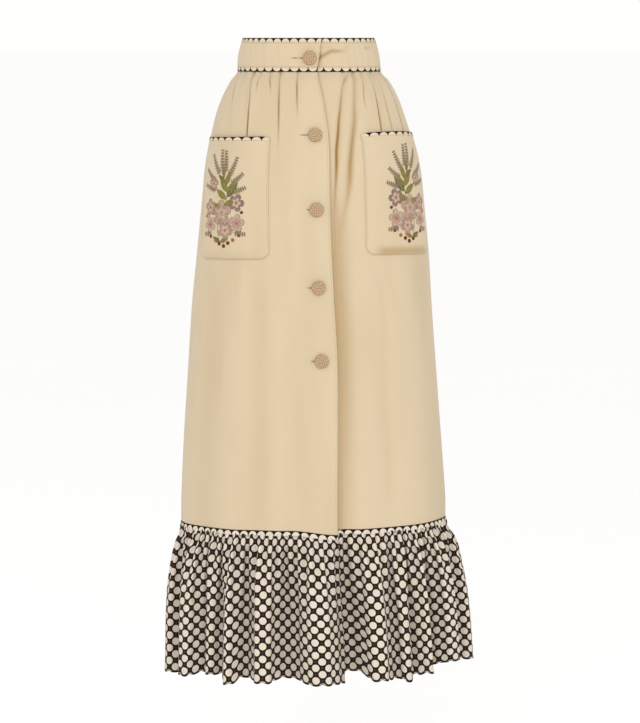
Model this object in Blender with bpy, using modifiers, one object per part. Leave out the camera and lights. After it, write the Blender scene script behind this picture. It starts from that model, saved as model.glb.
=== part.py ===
"""Maxi skirt with a buttoned front, a gathered waist, two patch pockets and a gathered flounce.

Units are metres. +Z is up, the front faces -Y and +X is the wearer's left. The origin is the centre of the
waistband at half its height, where the wearer's waist holds the skirt.

Every piece of cloth is a grid of points on its outer face, worked out from the rings of the garment and
its folds, and Solidify gives it its wall. A place round the garment is its share of the ring: 0 at centre
front, positive to the wearer's left, 0.25 at the left side seam and 0.5 at centre back.
"""

import math
from collections import namedtuple

import bmesh
import bpy
import numpy as np
from mathutils import Vector

# Driving dimensions
BAND_HALF = 0.027
SEAM_Z = -0.764
STRIP_HEIGHT = 0.008
HEM_Z = -1.010
GAP = 0.0003
BAND_WALL = 0.0018
CLOTH_WALL = 0.0012
TRIM_WALL = 0.0010
FLOUNCE_WALL = 0.0010
SIDE_SEAM = 0.25
UNDERLAP = 0.025
UNDERLAP_INSET = 0.0042
INSET_FADE = 0.040
SEAM_CALM = 0.016
EDGE_MARGIN = 0.0065
EDGE_COLUMN = 0.6
WAIST_TRIM_HEIGHT = 0.007
BAND_COLUMNS = 56

# How the two lower seams lean and dip
SEAM_LEAN = 0.0033
LEAN_REACH = 0.22
OVERLAP_DIP = 0.008
DIP_START = -0.045
DIP_END = 0.021

# The rings of the garment: half its width to each side and its depth to front and back
Section = namedtuple("Section", "z right left front back")
SECTIONS = (
    Section(-1.040, 0.230, 0.266, 0.165, 0.181),
    Section(-1.010, 0.228, 0.263, 0.162, 0.178),
    Section(-0.917, 0.225, 0.255, 0.155, 0.170),
    Section(-0.836, 0.220, 0.244, 0.148, 0.162),
    Section(-0.800, 0.216, 0.239, 0.143, 0.156),
    Section(-0.772, 0.212, 0.229, 0.139, 0.153),
    Section(-0.728, 0.211, 0.227, 0.138, 0.152),
    Section(-0.621, 0.206, 0.219, 0.137, 0.151),
    Section(-0.515, 0.199, 0.211, 0.136, 0.150),
    Section(-0.409, 0.192, 0.203, 0.135, 0.149),
    Section(-0.330, 0.184, 0.198, 0.134, 0.148),
    Section(-0.250, 0.176, 0.190, 0.132, 0.146),
    Section(-0.172, 0.168, 0.179, 0.127, 0.139),
    Section(-0.120, 0.157, 0.164, 0.120, 0.131),
    Section(-0.093, 0.150, 0.155, 0.114, 0.124),
    Section(-0.067, 0.140, 0.145, 0.107, 0.115),
    Section(-0.041, 0.126, 0.130, 0.098, 0.102),
    Section(-0.0275, 0.116, 0.118, 0.091, 0.094),
    Section(-0.0270, 0.116, 0.118, 0.091, 0.094),
    Section(0.000, 0.1145, 0.115, 0.090, 0.092),
    Section(0.027, 0.1075, 0.108, 0.088, 0.090),
)

# The buttoned edge: where centre front lies across, and how far the overlap goes past it
Closing = namedtuple("Closing", "z centre_x past")
CLOSING = (
    Closing(-1.040, 0.0310, 0.0370),
    Closing(-0.900, 0.0270, 0.0310),
    Closing(-0.772, 0.0230, 0.0250),
    Closing(-0.489, 0.0212, 0.0260),
    Closing(-0.371, 0.0164, 0.0240),
    Closing(-0.246, 0.0132, 0.0220),
    Closing(-0.127, 0.0108, 0.0215),
    Closing(-0.067, 0.0060, 0.0170),
    Closing(-0.027, 0.0035, 0.0115),
    Closing(0.000, 0.0020, 0.0160),
    Closing(0.027, 0.0010, 0.0205),
)

# The waist gathers: where each starts and where it fades, how far it hangs and how deep it is at the waist
Gather = namedtuple("Gather", "share low_share length depth")
FRONT_GATHERS = (
    Gather(-0.212, -0.172, 0.100, 0.0030),
    Gather(-0.182, -0.150, 0.060, 0.0022),
    Gather(-0.152, -0.126, 0.125, 0.0042),
    Gather(-0.130, -0.106, 0.035, 0.0024),
    Gather(-0.101, -0.084, 0.035, 0.0024),
    Gather(-0.076, -0.068, 0.085, 0.0036),
    Gather(-0.031, -0.031, 0.080, 0.0020),
    Gather(0.042, 0.029, 0.060, 0.0016),
    Gather(0.084, 0.036, 0.130, 0.0042),
    Gather(0.111, 0.052, 0.145, 0.0040),
    Gather(0.135, 0.100, 0.060, 0.0026),
    Gather(0.168, 0.130, 0.120, 0.0040),
    Gather(0.190, 0.156, 0.070, 0.0024),
    Gather(0.214, 0.182, 0.110, 0.0034),
)
BACK_GATHERS = 14
BACK_GATHER_LENGTHS = (0.110, 0.060, 0.085, 0.045, 0.125, 0.070, 0.095)
BACK_GATHER_DEPTHS = (0.0038, 0.0026, 0.0032, 0.0024, 0.0040, 0.0028, 0.0034)
GATHER_WIDTH = 0.0045
GATHER_SPREAD = 1.4
GATHER_COLUMNS = (0.0, 0.30, 0.70)

# Long soft folds of the cloth, from top to bottom: a negative depth is a trough and a positive one a ridge
Fold = namedtuple("Fold", "z share low_z low_share depth width")
FOLDS = (
    Fold(-0.030, 0.083, -0.190, 0.030, -0.0035, 0.010),
    Fold(-0.030, 0.110, -0.260, 0.030, -0.0050, 0.011),
    Fold(-0.200, 0.032, -0.800, 0.034, -0.0055, 0.014),
    Fold(-0.300, 0.060, -0.800, 0.060, 0.0030, 0.026),
    Fold(-0.340, 0.098, -0.760, 0.098, -0.0022, 0.012),
    Fold(-0.340, 0.135, -0.800, 0.140, 0.0025, 0.030),
    Fold(-0.300, 0.190, -0.820, 0.196, -0.0035, 0.030),
    Fold(-0.090, -0.066, -0.760, -0.030, -0.0022, 0.012),
    Fold(-0.300, -0.066, -0.800, -0.060, 0.0022, 0.018),
    Fold(-0.320, -0.095, -0.800, -0.092, -0.0030, 0.022),
    Fold(-0.320, -0.131, -0.800, -0.128, 0.0028, 0.024),
    Fold(-0.320, -0.176, -0.820, -0.182, -0.0035, 0.028),
    Fold(-0.140, 0.300, -0.820, 0.300, -0.0045, 0.026),
    Fold(-0.180, 0.350, -0.820, 0.346, 0.0035, 0.030),
    Fold(-0.120, 0.396, -0.820, 0.402, -0.0050, 0.026),
    Fold(-0.200, 0.450, -0.820, 0.455, 0.0035, 0.034),
    Fold(-0.120, 0.505, -0.820, 0.500, -0.0045, 0.028),
    Fold(-0.180, 0.556, -0.820, 0.552, 0.0035, 0.032),
    Fold(-0.130, 0.610, -0.820, 0.606, -0.0050, 0.026),
    Fold(-0.160, 0.660, -0.820, 0.664, 0.0030, 0.030),
    Fold(-0.150, 0.705, -0.820, 0.708, -0.0040, 0.026),
)
FOLD_FADE = 0.060

# Heights of the rows of points down a panel, which the pockets share
PANEL_ROWS = (-0.0273, -0.035, -0.047, -0.064, -0.092, -0.129, -0.178, -0.245, -0.322, -0.440, -0.600)
PANEL_HANG_ROW = -0.322
UNDER_CALM = 0.012
STRIP_COLUMNS = 96

# The patch pockets: heights of the mouth and of the bottom, and the inner edge's share at each
Pocket = namedtuple("Pocket", "name side top bottom top_share low_share")
POCKETS = (
    Pocket("right", -1, -0.1290, -0.3255, -0.0795, -0.0742),
    Pocket("left", 1, -0.1240, -0.3190, 0.0835, 0.0760),
)
POCKET_WIDTH = 0.143
POCKET_CORNER = 0.015
POCKET_PUFF = 0.0022
POCKET_TRIM_HEIGHT = 0.0065
POCKET_CLEAR = 0.0005
POCKET_CORNER_CLEAR = 1.15
POCKET_CORNER_COLUMN = 0.3

# The flounce: valleys of its waves at the hem, and the seam gathers that run into each wave
Wave = namedtuple("Wave", "share gathers")
FRONT_WAVES = (
    Wave(-0.262, 4),
    Wave(-0.214, 4),
    Wave(-0.166, 2),
    Wave(-0.143, 3),
    Wave(-0.106, 4),
    Wave(-0.052, 6),
    Wave(0.037, 4),
    Wave(0.094, 2),
    Wave(0.117, 3),
    Wave(0.150, 4),
    Wave(0.199, 4),
)
BACK_WAVE_WIDTHS = (0.052, 0.041, 0.058, 0.046, 0.050, 0.043, 0.056, 0.047, 0.052, 0.043)
BACK_WAVE_START = 0.250
BACK_WAVE_GATHERS = 4
GATHER_CUT = 0.025
GATHERS_BEFORE_FRONT = 20.5
FLOUNCE_EDGE_GATHERS = 1.75
FLOUNCE_UNDERLAP_GATHERS = 2.0
FLOUNCE_SIDE_GATHERS = 19.75
FLOUNCE_STRAIGHT = 0.025
FLOUNCE_ROWS = (0.0, FLOUNCE_STRAIGHT, 0.12, 0.42, 1.0)
FLOUNCE_SEAM_GAP = 0.0007
FLOUNCE_END_COLUMN = 0.06
FOLD_CARRY = 0.40
COLUMNS_PER_GATHER = 4
STEPS_PER_GATHER = 16
HEM_WAVE_PART = 0.94
WAVE_GROWTH = 0.55
SEAM_FLATTENING = 0.5
FLATTENED_PART = 0.10
TOP_SETBACK = 0.0015
HEM_SETBACK = 0.0030
FLOUNCE_INSET = 0.0105
STEEPEST = 2.0

# How far the hem lies above its usual height
Lift = namedtuple("Lift", "share lift")
HEM_LIFTS = (
    Lift(-0.500, 0.0000),
    Lift(-0.300, -0.0040),
    Lift(-0.214, -0.0060),
    Lift(-0.174, 0.0040),
    Lift(-0.145, 0.0060),
    Lift(-0.124, -0.0045),
    Lift(-0.106, 0.0040),
    Lift(-0.084, 0.0010),
    Lift(-0.052, 0.0060),
    Lift(-0.011, 0.0015),
    Lift(0.027, -0.0010),
    Lift(0.033, 0.0150),
    Lift(0.046, 0.0130),
    Lift(0.056, 0.0060),
    Lift(0.094, 0.0010),
    Lift(0.106, -0.0030),
    Lift(0.120, 0.0065),
    Lift(0.132, 0.0080),
    Lift(0.150, 0.0160),
    Lift(0.173, 0.0220),
    Lift(0.199, 0.0160),
    Lift(0.300, 0.0090),
    Lift(0.500, 0.0000),
)
OVERLAP_LIFT_END = 0.027
UNDERLAP_LIFT_START = 0.033

# The buttons, from the waistband down
BUTTON_HEIGHTS = (-0.005, -0.127, -0.246, -0.371, -0.489)
BUTTON_RADIUS = 0.0112
BUTTON_THICKNESS = 0.0062
BUTTON_BACK = 0.0096
BUTTON_SHANK = 0.0030
BUTTON_LIFT = 0.0016
BUTTON_SIDES = 14

BUTTERMILK = (0.80, 0.65, 0.42)
PRINT = (0.30, 0.25, 0.20)
STRAW = (0.52, 0.38, 0.24)


def smooth(value):
    """0 below 0, 1 above 1, and a smooth step between."""
    t = np.clip(value, 0.0, 1.0)
    return t * t * (3.0 - 2.0 * t)


def curve_through(at, knots, values):
    """A smooth curve through the knots, which rise, with no overshoot between them."""
    knots = np.asarray(knots)
    values = np.asarray(values)
    steps = np.diff(values) / np.diff(knots)
    slopes = np.concatenate([[steps[0]], (steps[:-1] + steps[1:]) / 2, [steps[-1]]])
    flat = np.concatenate([[False], steps[:-1] * steps[1:] <= 0, [False]])
    slopes[flat] = 0.0
    at = np.clip(at, knots[0], knots[-1])
    k = np.clip(np.searchsorted(knots, at) - 1, 0, len(knots) - 2)
    width = knots[k + 1] - knots[k]
    t = (at - knots[k]) / width
    return (
        values[k] * (1 + 2 * t) * (1 - t) ** 2
        + slopes[k] * width * t * (1 - t) ** 2
        + values[k + 1] * t * t * (3 - 2 * t)
        + slopes[k + 1] * width * t * t * (t - 1)
    )


def section_at(z, column):
    return curve_through(z, [row.z for row in SECTIONS], [getattr(row, column) for row in SECTIONS])


def closing_at(z, column):
    return curve_through(z, [row.z for row in CLOSING], [getattr(row, column) for row in CLOSING])


def ring_tables():
    """For a ladder of heights: each share's angle round the ring, and the ring's length."""
    levels = np.linspace(SECTIONS[0].z, SECTIONS[-1].z, 241)
    shares = np.linspace(-0.5, 0.5, 401)
    angles = np.linspace(-1.5 * math.pi, 1.5 * math.pi, 4321)
    turned = np.empty((len(levels), len(shares)))
    lengths = np.empty(len(levels))
    for i, z in enumerate(levels):
        x, y = ellipse(angles, z)
        arc = np.concatenate([[0.0], np.cumsum(np.hypot(np.diff(x), np.diff(y)))])
        half_turn = len(angles) // 3
        lengths[i] = arc[2 * half_turn] - arc[0]
        front = np.abs(angles) < math.pi / 2
        centre = np.interp(closing_at(z, "centre_x"), x[front], arc[front])
        turned[i] = np.interp(shares, (arc - centre) / lengths[i], angles)
    return levels, turned, lengths


def ellipse(angle, z):
    """The ring's point at an angle from the front, before any fold."""
    across = np.where(np.sin(angle) > 0, section_at(z, "left"), section_at(z, "right"))
    deep = np.where(np.cos(angle) > 0, section_at(z, "front"), section_at(z, "back"))
    return across * np.sin(angle), -deep * np.cos(angle)


LEVELS, TURNED, LENGTHS = ring_tables()


def ring_length(z):
    return np.interp(z, LEVELS, LENGTHS)


def ring_angle(share, z):
    """The angle at which a share of the ring lies, read between the ladder's heights."""
    row = np.clip((z - LEVELS[0]) / (LEVELS[1] - LEVELS[0]), 0, len(LEVELS) - 1.001)
    column = ((share + 0.5) % 1.0) * (TURNED.shape[1] - 1)
    i, j = row.astype(int), column.astype(int)
    u, v = row - i, column - j
    top = TURNED[i, j] * (1 - v) + TURNED[i, j + 1] * v
    low = TURNED[i + 1, j] * (1 - v) + TURNED[i + 1, j + 1] * v
    return top * (1 - u) + low * u


def cloth_point(share, z, out):
    """Points at a share and height, moved outwards from the ring by out."""
    share, z, out = np.broadcast_arrays(
        np.asarray(share, float), np.asarray(z, float), np.asarray(out, float)
    )
    angle = ring_angle(share, z)
    x, y = ellipse(angle, z)
    across = np.where(np.sin(angle) > 0, section_at(z, "left"), section_at(z, "right"))
    deep = np.where(np.cos(angle) > 0, section_at(z, "front"), section_at(z, "back"))
    normal_x = np.sin(angle) / across
    normal_y = -np.cos(angle) / deep
    size = np.hypot(normal_x, normal_y)
    return np.stack([x + out * normal_x / size, y + out * normal_y / size, z], axis=-1)


def edge_share(z):
    """The share at which the overlapping front ends."""
    return closing_at(z, "past") / ring_length(z)


def underlap_inset(share, z, depth=UNDERLAP_INSET):
    """How far the layer underneath lies inside the ring: all of it under the overlap, none beyond it."""
    past = (share - edge_share(z)) * ring_length(z)
    return depth * (1.0 - smooth(past / INSET_FADE))


def back_gathers():
    """The gathers behind the side seams, evenly spaced."""
    made = []
    for k in range(BACK_GATHERS):
        share = SIDE_SEAM + (k + 0.5) * 0.5 / BACK_GATHERS
        pick = k % len(BACK_GATHER_LENGTHS)
        made.append(Gather(share, share, BACK_GATHER_LENGTHS[pick], BACK_GATHER_DEPTHS[pick]))
    return tuple(made)


GATHERS = FRONT_GATHERS + back_gathers()


def gather_share(gather, z):
    """A gather runs straight from its start at the waist to where it fades, and stays at that share."""
    drop = (-BAND_HALF - z) / gather.length
    return gather.share + (gather.low_share - gather.share) * np.clip(drop, 0.0, 1.0)


def gather_grooves(share, z):
    """How far the gathers draw the cloth in."""
    total = np.zeros(np.broadcast(share, z).shape)
    for gather in GATHERS:
        drop = np.clip((-BAND_HALF - z) / gather.length, 0.0, 1.0)
        width = GATHER_WIDTH * (1.0 + GATHER_SPREAD * drop)
        away = (share - gather_share(gather, z)) * ring_length(z) / width
        total += gather.depth * (1.0 - drop) ** 1.3 * np.exp(-away * away)
    return total


def fold_relief(share, z):
    """How far the long folds stand out, or in where negative."""
    total = np.zeros(np.broadcast(share, z).shape)
    for fold in FOLDS:
        along = (fold.z - z) / (fold.z - fold.low_z)
        centre = fold.share + (fold.low_share - fold.share) * np.clip(along, 0.0, 1.0)
        strength = smooth((fold.z - z) / FOLD_FADE) * smooth((z - fold.low_z) / FOLD_FADE)
        away = (share - centre) * ring_length(z)
        total += fold.depth * strength * np.exp(-((away / fold.width) ** 2))
    return total


def lean(share, z):
    """How far the strip's seams rise towards the wearer's left."""
    x = cloth_point(share, z, 0.0)[..., 0]
    return SEAM_LEAN * np.clip(x / LEAN_REACH, -1.0, 1.0)


def hem_lift(share, overlapping):
    """How far the hem lies above its usual height, where each front's own edge counts up to its end."""
    turned = (share + 0.5) % 1.0 - 0.5
    near = np.abs(turned) < 0.1
    own = np.minimum(turned, OVERLAP_LIFT_END) if overlapping else np.maximum(turned, UNDERLAP_LIFT_START)
    at = np.where(near, own, turned)
    return curve_through(at, [row.share for row in HEM_LIFTS], [row.lift for row in HEM_LIFTS])


def dip(share):
    """The overlapping front hangs a little lower at its edge."""
    return OVERLAP_DIP * smooth((share - DIP_START) / (DIP_END - DIP_START))


def cloth_piece(name, points, wall, colour):
    """A wall whose outer face is a grid of points, rows downwards and columns to the wearer's left."""
    rows, columns = points.shape[:2]
    mesh = bpy.data.meshes.new(name)
    corners = [
        (r * columns + c, (r + 1) * columns + c, (r + 1) * columns + c + 1, r * columns + c + 1)
        for r in range(rows - 1)
        for c in range(columns - 1)
    ]
    mesh.from_pydata(points.reshape(-1, 3).tolist(), [], corners)
    mesh.shade_smooth()
    piece = bpy.data.objects.new(name, mesh)
    skirt.objects.link(piece)
    solid = piece.modifiers.new("wall", "SOLIDIFY")
    solid.thickness = wall
    solid.offset = -1.0
    solid.use_quality_normals = True
    piece.data.materials.append(colour)
    return piece


def material(name, colour, roughness):
    made = bpy.data.materials.new(name)
    made.use_nodes = True
    shader = made.node_tree.nodes["Principled BSDF"]
    shader.inputs["Base Color"].default_value = (*colour, 1.0)
    shader.inputs["Roughness"].default_value = roughness
    shader.inputs["Metallic"].default_value = 0.0
    return made


def waistband():
    """One strip round the waist. Its hidden end starts under the overlap, and it ends in the overlap."""
    heights = np.array([BAND_HALF, BAND_HALF / 3, -BAND_HALF / 3, -BAND_HALF])
    share, z = band_grid(heights)
    out = -band_inset(share, z)
    cloth_piece("waistband", cloth_point(share, z, out), BAND_WALL, buttermilk)
    for name, high in (("waist_trim_top", BAND_HALF), ("waist_trim_seam", WAIST_TRIM_HEIGHT - BAND_HALF)):
        share, z = band_grid(np.array([high, high - WAIST_TRIM_HEIGHT]))
        out = GAP + TRIM_WALL - band_inset(share, z)
        cloth_piece(name, cloth_point(share, z, out), TRIM_WALL, dot_print)


def band_grid(heights):
    """Shares and heights of the waistband's points, from its hidden end once round to its overlapping end."""
    across = np.linspace(0.0, 1.0, BAND_COLUMNS + 1)[None, :]
    z = heights[:, None] + 0.0 * across
    start = -UNDERLAP / ring_length(z)
    end = 1.0 + edge_share(z)
    return start + (end - start) * across, z


def band_inset(share, z):
    """The band's inset counts only near its hidden end."""
    return np.where(share < 0.5, underlap_inset(share, z), 0.0)


def ladder(z):
    """Shares of the columns at one height: centre front, each gather and two columns before the next."""
    places = sorted(gather_share(gather, z) for gather in GATHERS)
    places = [share - 1.0 for share in places[-2:]] + places + [share + 1.0 for share in places[:2]]
    columns = []
    for here, after in zip(places[:-1], places[1:]):
        columns += [here + (after - here) * part for part in GATHER_COLUMNS]
    return np.sort(columns + [0.0])


def panel_grid(low, high):
    """Shares and heights of a panel's points. low and high give its two edges' shares at a height."""
    heights = PANEL_ROWS + (SEAM_Z,)
    margins = [EDGE_MARGIN / ring_length(z) for z in heights]
    keep = np.all([
        (ladder(z) > low(z) + margin) & (ladder(z) < high(z) - margin)
        for z, margin in zip(heights, margins)
    ], axis=0)
    share = np.array([
        np.concatenate([
            [low(z), low(z) + EDGE_COLUMN * margin],
            ladder(z)[keep],
            [high(z) - EDGE_COLUMN * margin, high(z)],
        ])
        for z, margin in zip(heights, margins)
    ])
    return share, np.array(heights)[:, None] + 0.0 * share


def hang(share, z, overlapping):
    """Heights of a panel's points once its lower seam leans and dips."""
    part = smooth((PANEL_HANG_ROW - z) / (PANEL_HANG_ROW - SEAM_Z))
    drop = dip(share) if overlapping else 0.0
    return z + part * (lean(share, z) - drop)


def relief(share, z):
    """The gathers and folds, which die out at a side seam."""
    away = np.minimum(np.abs(share - SIDE_SEAM), np.abs(share - 1.0 + SIDE_SEAM))
    away = np.minimum(away, np.abs(share + SIDE_SEAM)) * ring_length(z)
    return (fold_relief(share, z) - gather_grooves(share, z)) * smooth(away / SEAM_CALM)


def overlap_relief(share, z):
    """The overlapping front is flat near its edge, so no fold of the layer beneath shows in it."""
    return relief(share, z) * smooth((edge_share(z) - share) * ring_length(z) / UNDERLAP)


def underlap_relief(share, z):
    """The front underneath is flat up to the overlap's edge."""
    return relief(share, z) * smooth((share - edge_share(z)) * ring_length(z) / UNDER_CALM)


def side_gap(z):
    """Half the gap at a side seam, as a share of the ring."""
    return 0.5 * GAP / ring_length(z)


def panels():
    """The two fronts and the back, joined at the side seams."""
    share, z = panel_grid(lambda z: -SIDE_SEAM + side_gap(z), edge_share)
    points = cloth_point(share, hang(share, z, True), overlap_relief(share, z))
    cloth_piece("front_right", points, CLOTH_WALL, buttermilk)
    share, z = panel_grid(lambda z: -UNDERLAP / ring_length(z), lambda z: SIDE_SEAM - side_gap(z))
    out = underlap_relief(share, z) - underlap_inset(share, z)
    cloth_piece("front_left", cloth_point(share, hang(share, z, False), out), CLOTH_WALL, buttermilk)
    share, z = panel_grid(lambda z: SIDE_SEAM + side_gap(z), lambda z: 1.0 - SIDE_SEAM - side_gap(z))
    cloth_piece("back", cloth_point(share, hang(share, z, False), relief(share, z)), CLOTH_WALL, buttermilk)


def pocket_grid(pocket, heights):
    """Shares, heights and the two parts across and down of a pocket's points, on the panel's own columns."""
    down = (pocket.top - heights) / (pocket.top - pocket.bottom)
    inner = pocket.top_share + (pocket.low_share - pocket.top_share) * down
    width = POCKET_WIDTH / ring_length(heights)
    rows = zip(heights, inner, width)
    reach = np.array([(ladder(z) - start) * pocket.side / wide for z, start, wide in rows])
    corner = POCKET_CORNER / POCKET_WIDTH
    clear = POCKET_CORNER_CLEAR * corner
    kept = np.all((reach > clear) & (reach < 1 - clear), axis=0)
    near = POCKET_CORNER_COLUMN * corner
    ends = np.array([0.0, near, corner, 1 - corner, 1 - near, 1.0])
    across = np.sort(np.hstack([reach[:, kept], np.tile(ends, (len(heights), 1))]), axis=1)[:, :: pocket.side]
    share = inner[:, None] + pocket.side * width[:, None] * across
    return share, heights[:, None] + 0.0 * share, across, down[:, None] + 0.0 * share


def pocket_cover(share, z, across, down):
    """How far a pocket's outer face stands out: over the panel's ridges, and slack towards its mouth."""
    puff = POCKET_PUFF * np.sin(math.pi * across) ** 0.7 * (0.35 + 0.65 * (1.0 - down) ** 1.5)
    return relief(share, z) + GAP + POCKET_CLEAR + CLOTH_WALL + puff


def pocket_parts(pocket):
    """One pocket, with its lower corners round, and the trim along its mouth."""
    low, high = pocket.bottom + 2 * POCKET_CORNER, pocket.top - 2 * POCKET_TRIM_HEIGHT
    shared = [z for z in PANEL_ROWS if low < z < high]
    heights = np.array([pocket.top, pocket.top - POCKET_TRIM_HEIGHT, *shared, pocket.bottom])
    share, z, across, down = pocket_grid(pocket, heights)
    nearest = np.minimum(across[-1], 1.0 - across[-1]) * POCKET_WIDTH
    inside = np.clip(POCKET_CORNER - nearest, 0.0, POCKET_CORNER)
    z[-1] += POCKET_CORNER - np.sqrt(POCKET_CORNER**2 - inside**2)
    out = pocket_cover(share, z, across, down)
    cloth_piece("pocket_" + pocket.name, cloth_point(share, z, out), CLOTH_WALL, buttermilk)
    out = out[:2] + GAP + TRIM_WALL
    cloth_piece("pocket_trim_" + pocket.name, cloth_point(share[:2], z[:2], out), TRIM_WALL, dot_print)


def strip_grid(low, high, overlapping):
    """The printed strip between the panels and the flounce."""
    columns = np.linspace(0.0, 1.0, round((high(SEAM_Z) - low(SEAM_Z)) * STRIP_COLUMNS) + 1)
    z = np.array([SEAM_Z - GAP, SEAM_Z - STRIP_HEIGHT])[:, None] + 0.0 * columns
    share = low(z) + (high(z) - low(z)) * columns
    drop = dip(share) if overlapping else 0.0
    return share, z, z + lean(share, z) - drop


def strips():
    """Three lengths of the strip, one below each panel, sewn to its edge."""
    share, z, hung = strip_grid(lambda z: -SIDE_SEAM + side_gap(z), edge_share, True)
    cloth_piece("hem_trim_right", cloth_point(share, hung, overlap_relief(share, z)), TRIM_WALL, dot_print)
    share, z, hung = strip_grid(
        lambda z: -UNDERLAP / ring_length(z), lambda z: SIDE_SEAM - side_gap(z), False
    )
    out = underlap_relief(share, z) - underlap_inset(share, z)
    cloth_piece("hem_trim_left", cloth_point(share, hung, out), TRIM_WALL, dot_print)
    share, z, hung = strip_grid(
        lambda z: SIDE_SEAM + side_gap(z), lambda z: 1 - SIDE_SEAM - side_gap(z), False
    )
    cloth_piece("hem_trim_back", cloth_point(share, hung, relief(share, z)), TRIM_WALL, dot_print)


def all_waves():
    """Every wave's valley share at the hem, and its number of gathers, once round from the front's first."""
    valleys = [wave.share for wave in FRONT_WAVES]
    gathers = [wave.gathers for wave in FRONT_WAVES]
    share = BACK_WAVE_START
    spare = (FRONT_WAVES[0].share + 1.0 - BACK_WAVE_START) / sum(BACK_WAVE_WIDTHS)
    for width in BACK_WAVE_WIDTHS:
        valleys.append(share)
        gathers.append(BACK_WAVE_GATHERS)
        share += width * spare
    return np.array(valleys + [FRONT_WAVES[0].share + 1.0]), np.array(gathers)


def steepness_for(shortening):
    """The largest slope angle of a meander that takes up this share of its cloth's length."""
    angles = np.linspace(0.0, STEEPEST, 81)
    turns = np.linspace(0.0, 2.0 * math.pi, 181)
    taken = np.cos(angles[:, None] * np.sin(turns)[None, :]).mean(axis=1)
    return np.interp(-shortening, -taken, angles)


def flounce_row(down):
    """Shares and outward distances along the flounce at one height, a step apart in its cloth.

    The cloth follows a meander, whose slope swings evenly along the cloth. At the seam it is taken up by
    small gathers, and lower down by the broad waves that they run into. It hangs straight at first.
    """
    valleys, gathers = all_waves()
    length = ring_length(SEAM_Z - STRIP_HEIGHT + (HEM_Z - SEAM_Z + STRIP_HEIGHT) * down)
    down = max(0.0, down - FLOUNCE_STRAIGHT)
    counted = np.concatenate([[0], np.cumsum(gathers)])
    even = (counted - GATHERS_BEFORE_FRONT) / counted[-1]
    bounds = even + (valleys - even) * smooth(down * 1.3)
    wave_part = HEM_WAVE_PART * smooth(down / WAVE_GROWTH) ** 0.8
    share_steps, out_steps, wave_depths = [], [], []
    for k, count in enumerate(gathers):
        shortening = (bounds[k + 1] - bounds[k]) * length / (count * GATHER_CUT)
        steps = (np.arange(count * STEPS_PER_GATHER) + 0.5) / (count * STEPS_PER_GATHER)
        slope = steepness_for(shortening**wave_part) * np.sin(2 * math.pi * steps)
        slope = slope + steepness_for(shortening ** (1 - wave_part)) * np.sin(2 * math.pi * steps * count)
        forward = np.cos(slope)
        share_steps.append(forward / forward.sum() * (bounds[k + 1] - bounds[k]))
        rise = np.sin(slope) * GATHER_CUT / STEPS_PER_GATHER
        out_steps.append(rise)
        wave_depths.append(np.cumsum(rise).max())
    share = bounds[0] + np.concatenate([[0.0], np.cumsum(np.concatenate(share_steps))])
    out = np.concatenate([[0.0], np.cumsum(np.concatenate(out_steps))])
    depths = np.array(wave_depths)
    levels = -(depths + np.roll(depths, 1)) / 4
    cloth = np.arange(len(share)) / STEPS_PER_GATHER
    base = np.interp(cloth, counted, np.append(levels, levels[0]))
    return share, out + base


def flattening(down):
    """How much of the gathers' depth is left next to the seam, which presses them flat."""
    return SEAM_FLATTENING + (1 - SEAM_FLATTENING) * smooth((down - FLOUNCE_STRAIGHT) / FLATTENED_PART)


def flounce_grid(first, last):
    """Shares, heights and outward distances of the flounce's points between two counts of gathers."""
    columns = [first] + [
        (k + 0.5) / COLUMNS_PER_GATHER
        for k in range(math.floor(first) * COLUMNS_PER_GATHER, math.ceil(last) * COLUMNS_PER_GATHER)
        if first + FLOUNCE_END_COLUMN < (k + 0.5) / COLUMNS_PER_GATHER < last - FLOUNCE_END_COLUMN
    ] + [last]
    at = (np.array(columns) + GATHERS_BEFORE_FRONT) * STEPS_PER_GATHER
    shares, heights, outs = [], [], []
    total = sum(all_waves()[1]) * STEPS_PER_GATHER
    for down in FLOUNCE_ROWS:
        share, out = flounce_row(down)
        turns = np.floor(at / total)
        shares.append(np.interp(at - turns * total, np.arange(total + 1), share) + turns)
        drop = (SEAM_Z - STRIP_HEIGHT - HEM_Z) * down
        flattened = flattening(down)
        setback = TOP_SETBACK + (HEM_SETBACK - TOP_SETBACK) * down
        outs.append(np.interp(at - turns * total, np.arange(total + 1), out) * flattened - setback)
        heights.append(np.full(len(at), SEAM_Z - STRIP_HEIGHT - GAP - drop))
    return np.array(shares), np.array(heights), np.array(outs)


def fallen(z):
    """How far down the flounce a height lies: 0 at its seam and 1 at its hem."""
    return (SEAM_Z - STRIP_HEIGHT - z) / (SEAM_Z - STRIP_HEIGHT - HEM_Z)


def flounce_hang(share, z, overlapping):
    """Heights of the flounce's points, which follow the seam above and, lower down, the hem's own line."""
    down = fallen(z)
    drop = dip(share) if overlapping else 0.0
    return z + (lean(share, z) - drop) * (1 - down) + hem_lift(share, overlapping) * down**1.5


def carried_folds(folds_above, share, z):
    """What is left in the flounce of the folds above it."""
    return folds_above(share, SEAM_Z - STRIP_HEIGHT + 0.0 * z) * (1.0 - smooth(fallen(z) / FOLD_CARRY))


def flounce_inset(share, z):
    """The flounce's hidden end lies deeper than the panel's, clear of the overlapping flounce's gathers."""
    depth = UNDERLAP_INSET + (FLOUNCE_INSET - UNDERLAP_INSET) * smooth(fallen(z) / FLATTENED_PART)
    return underlap_inset(share, z, depth)


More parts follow.
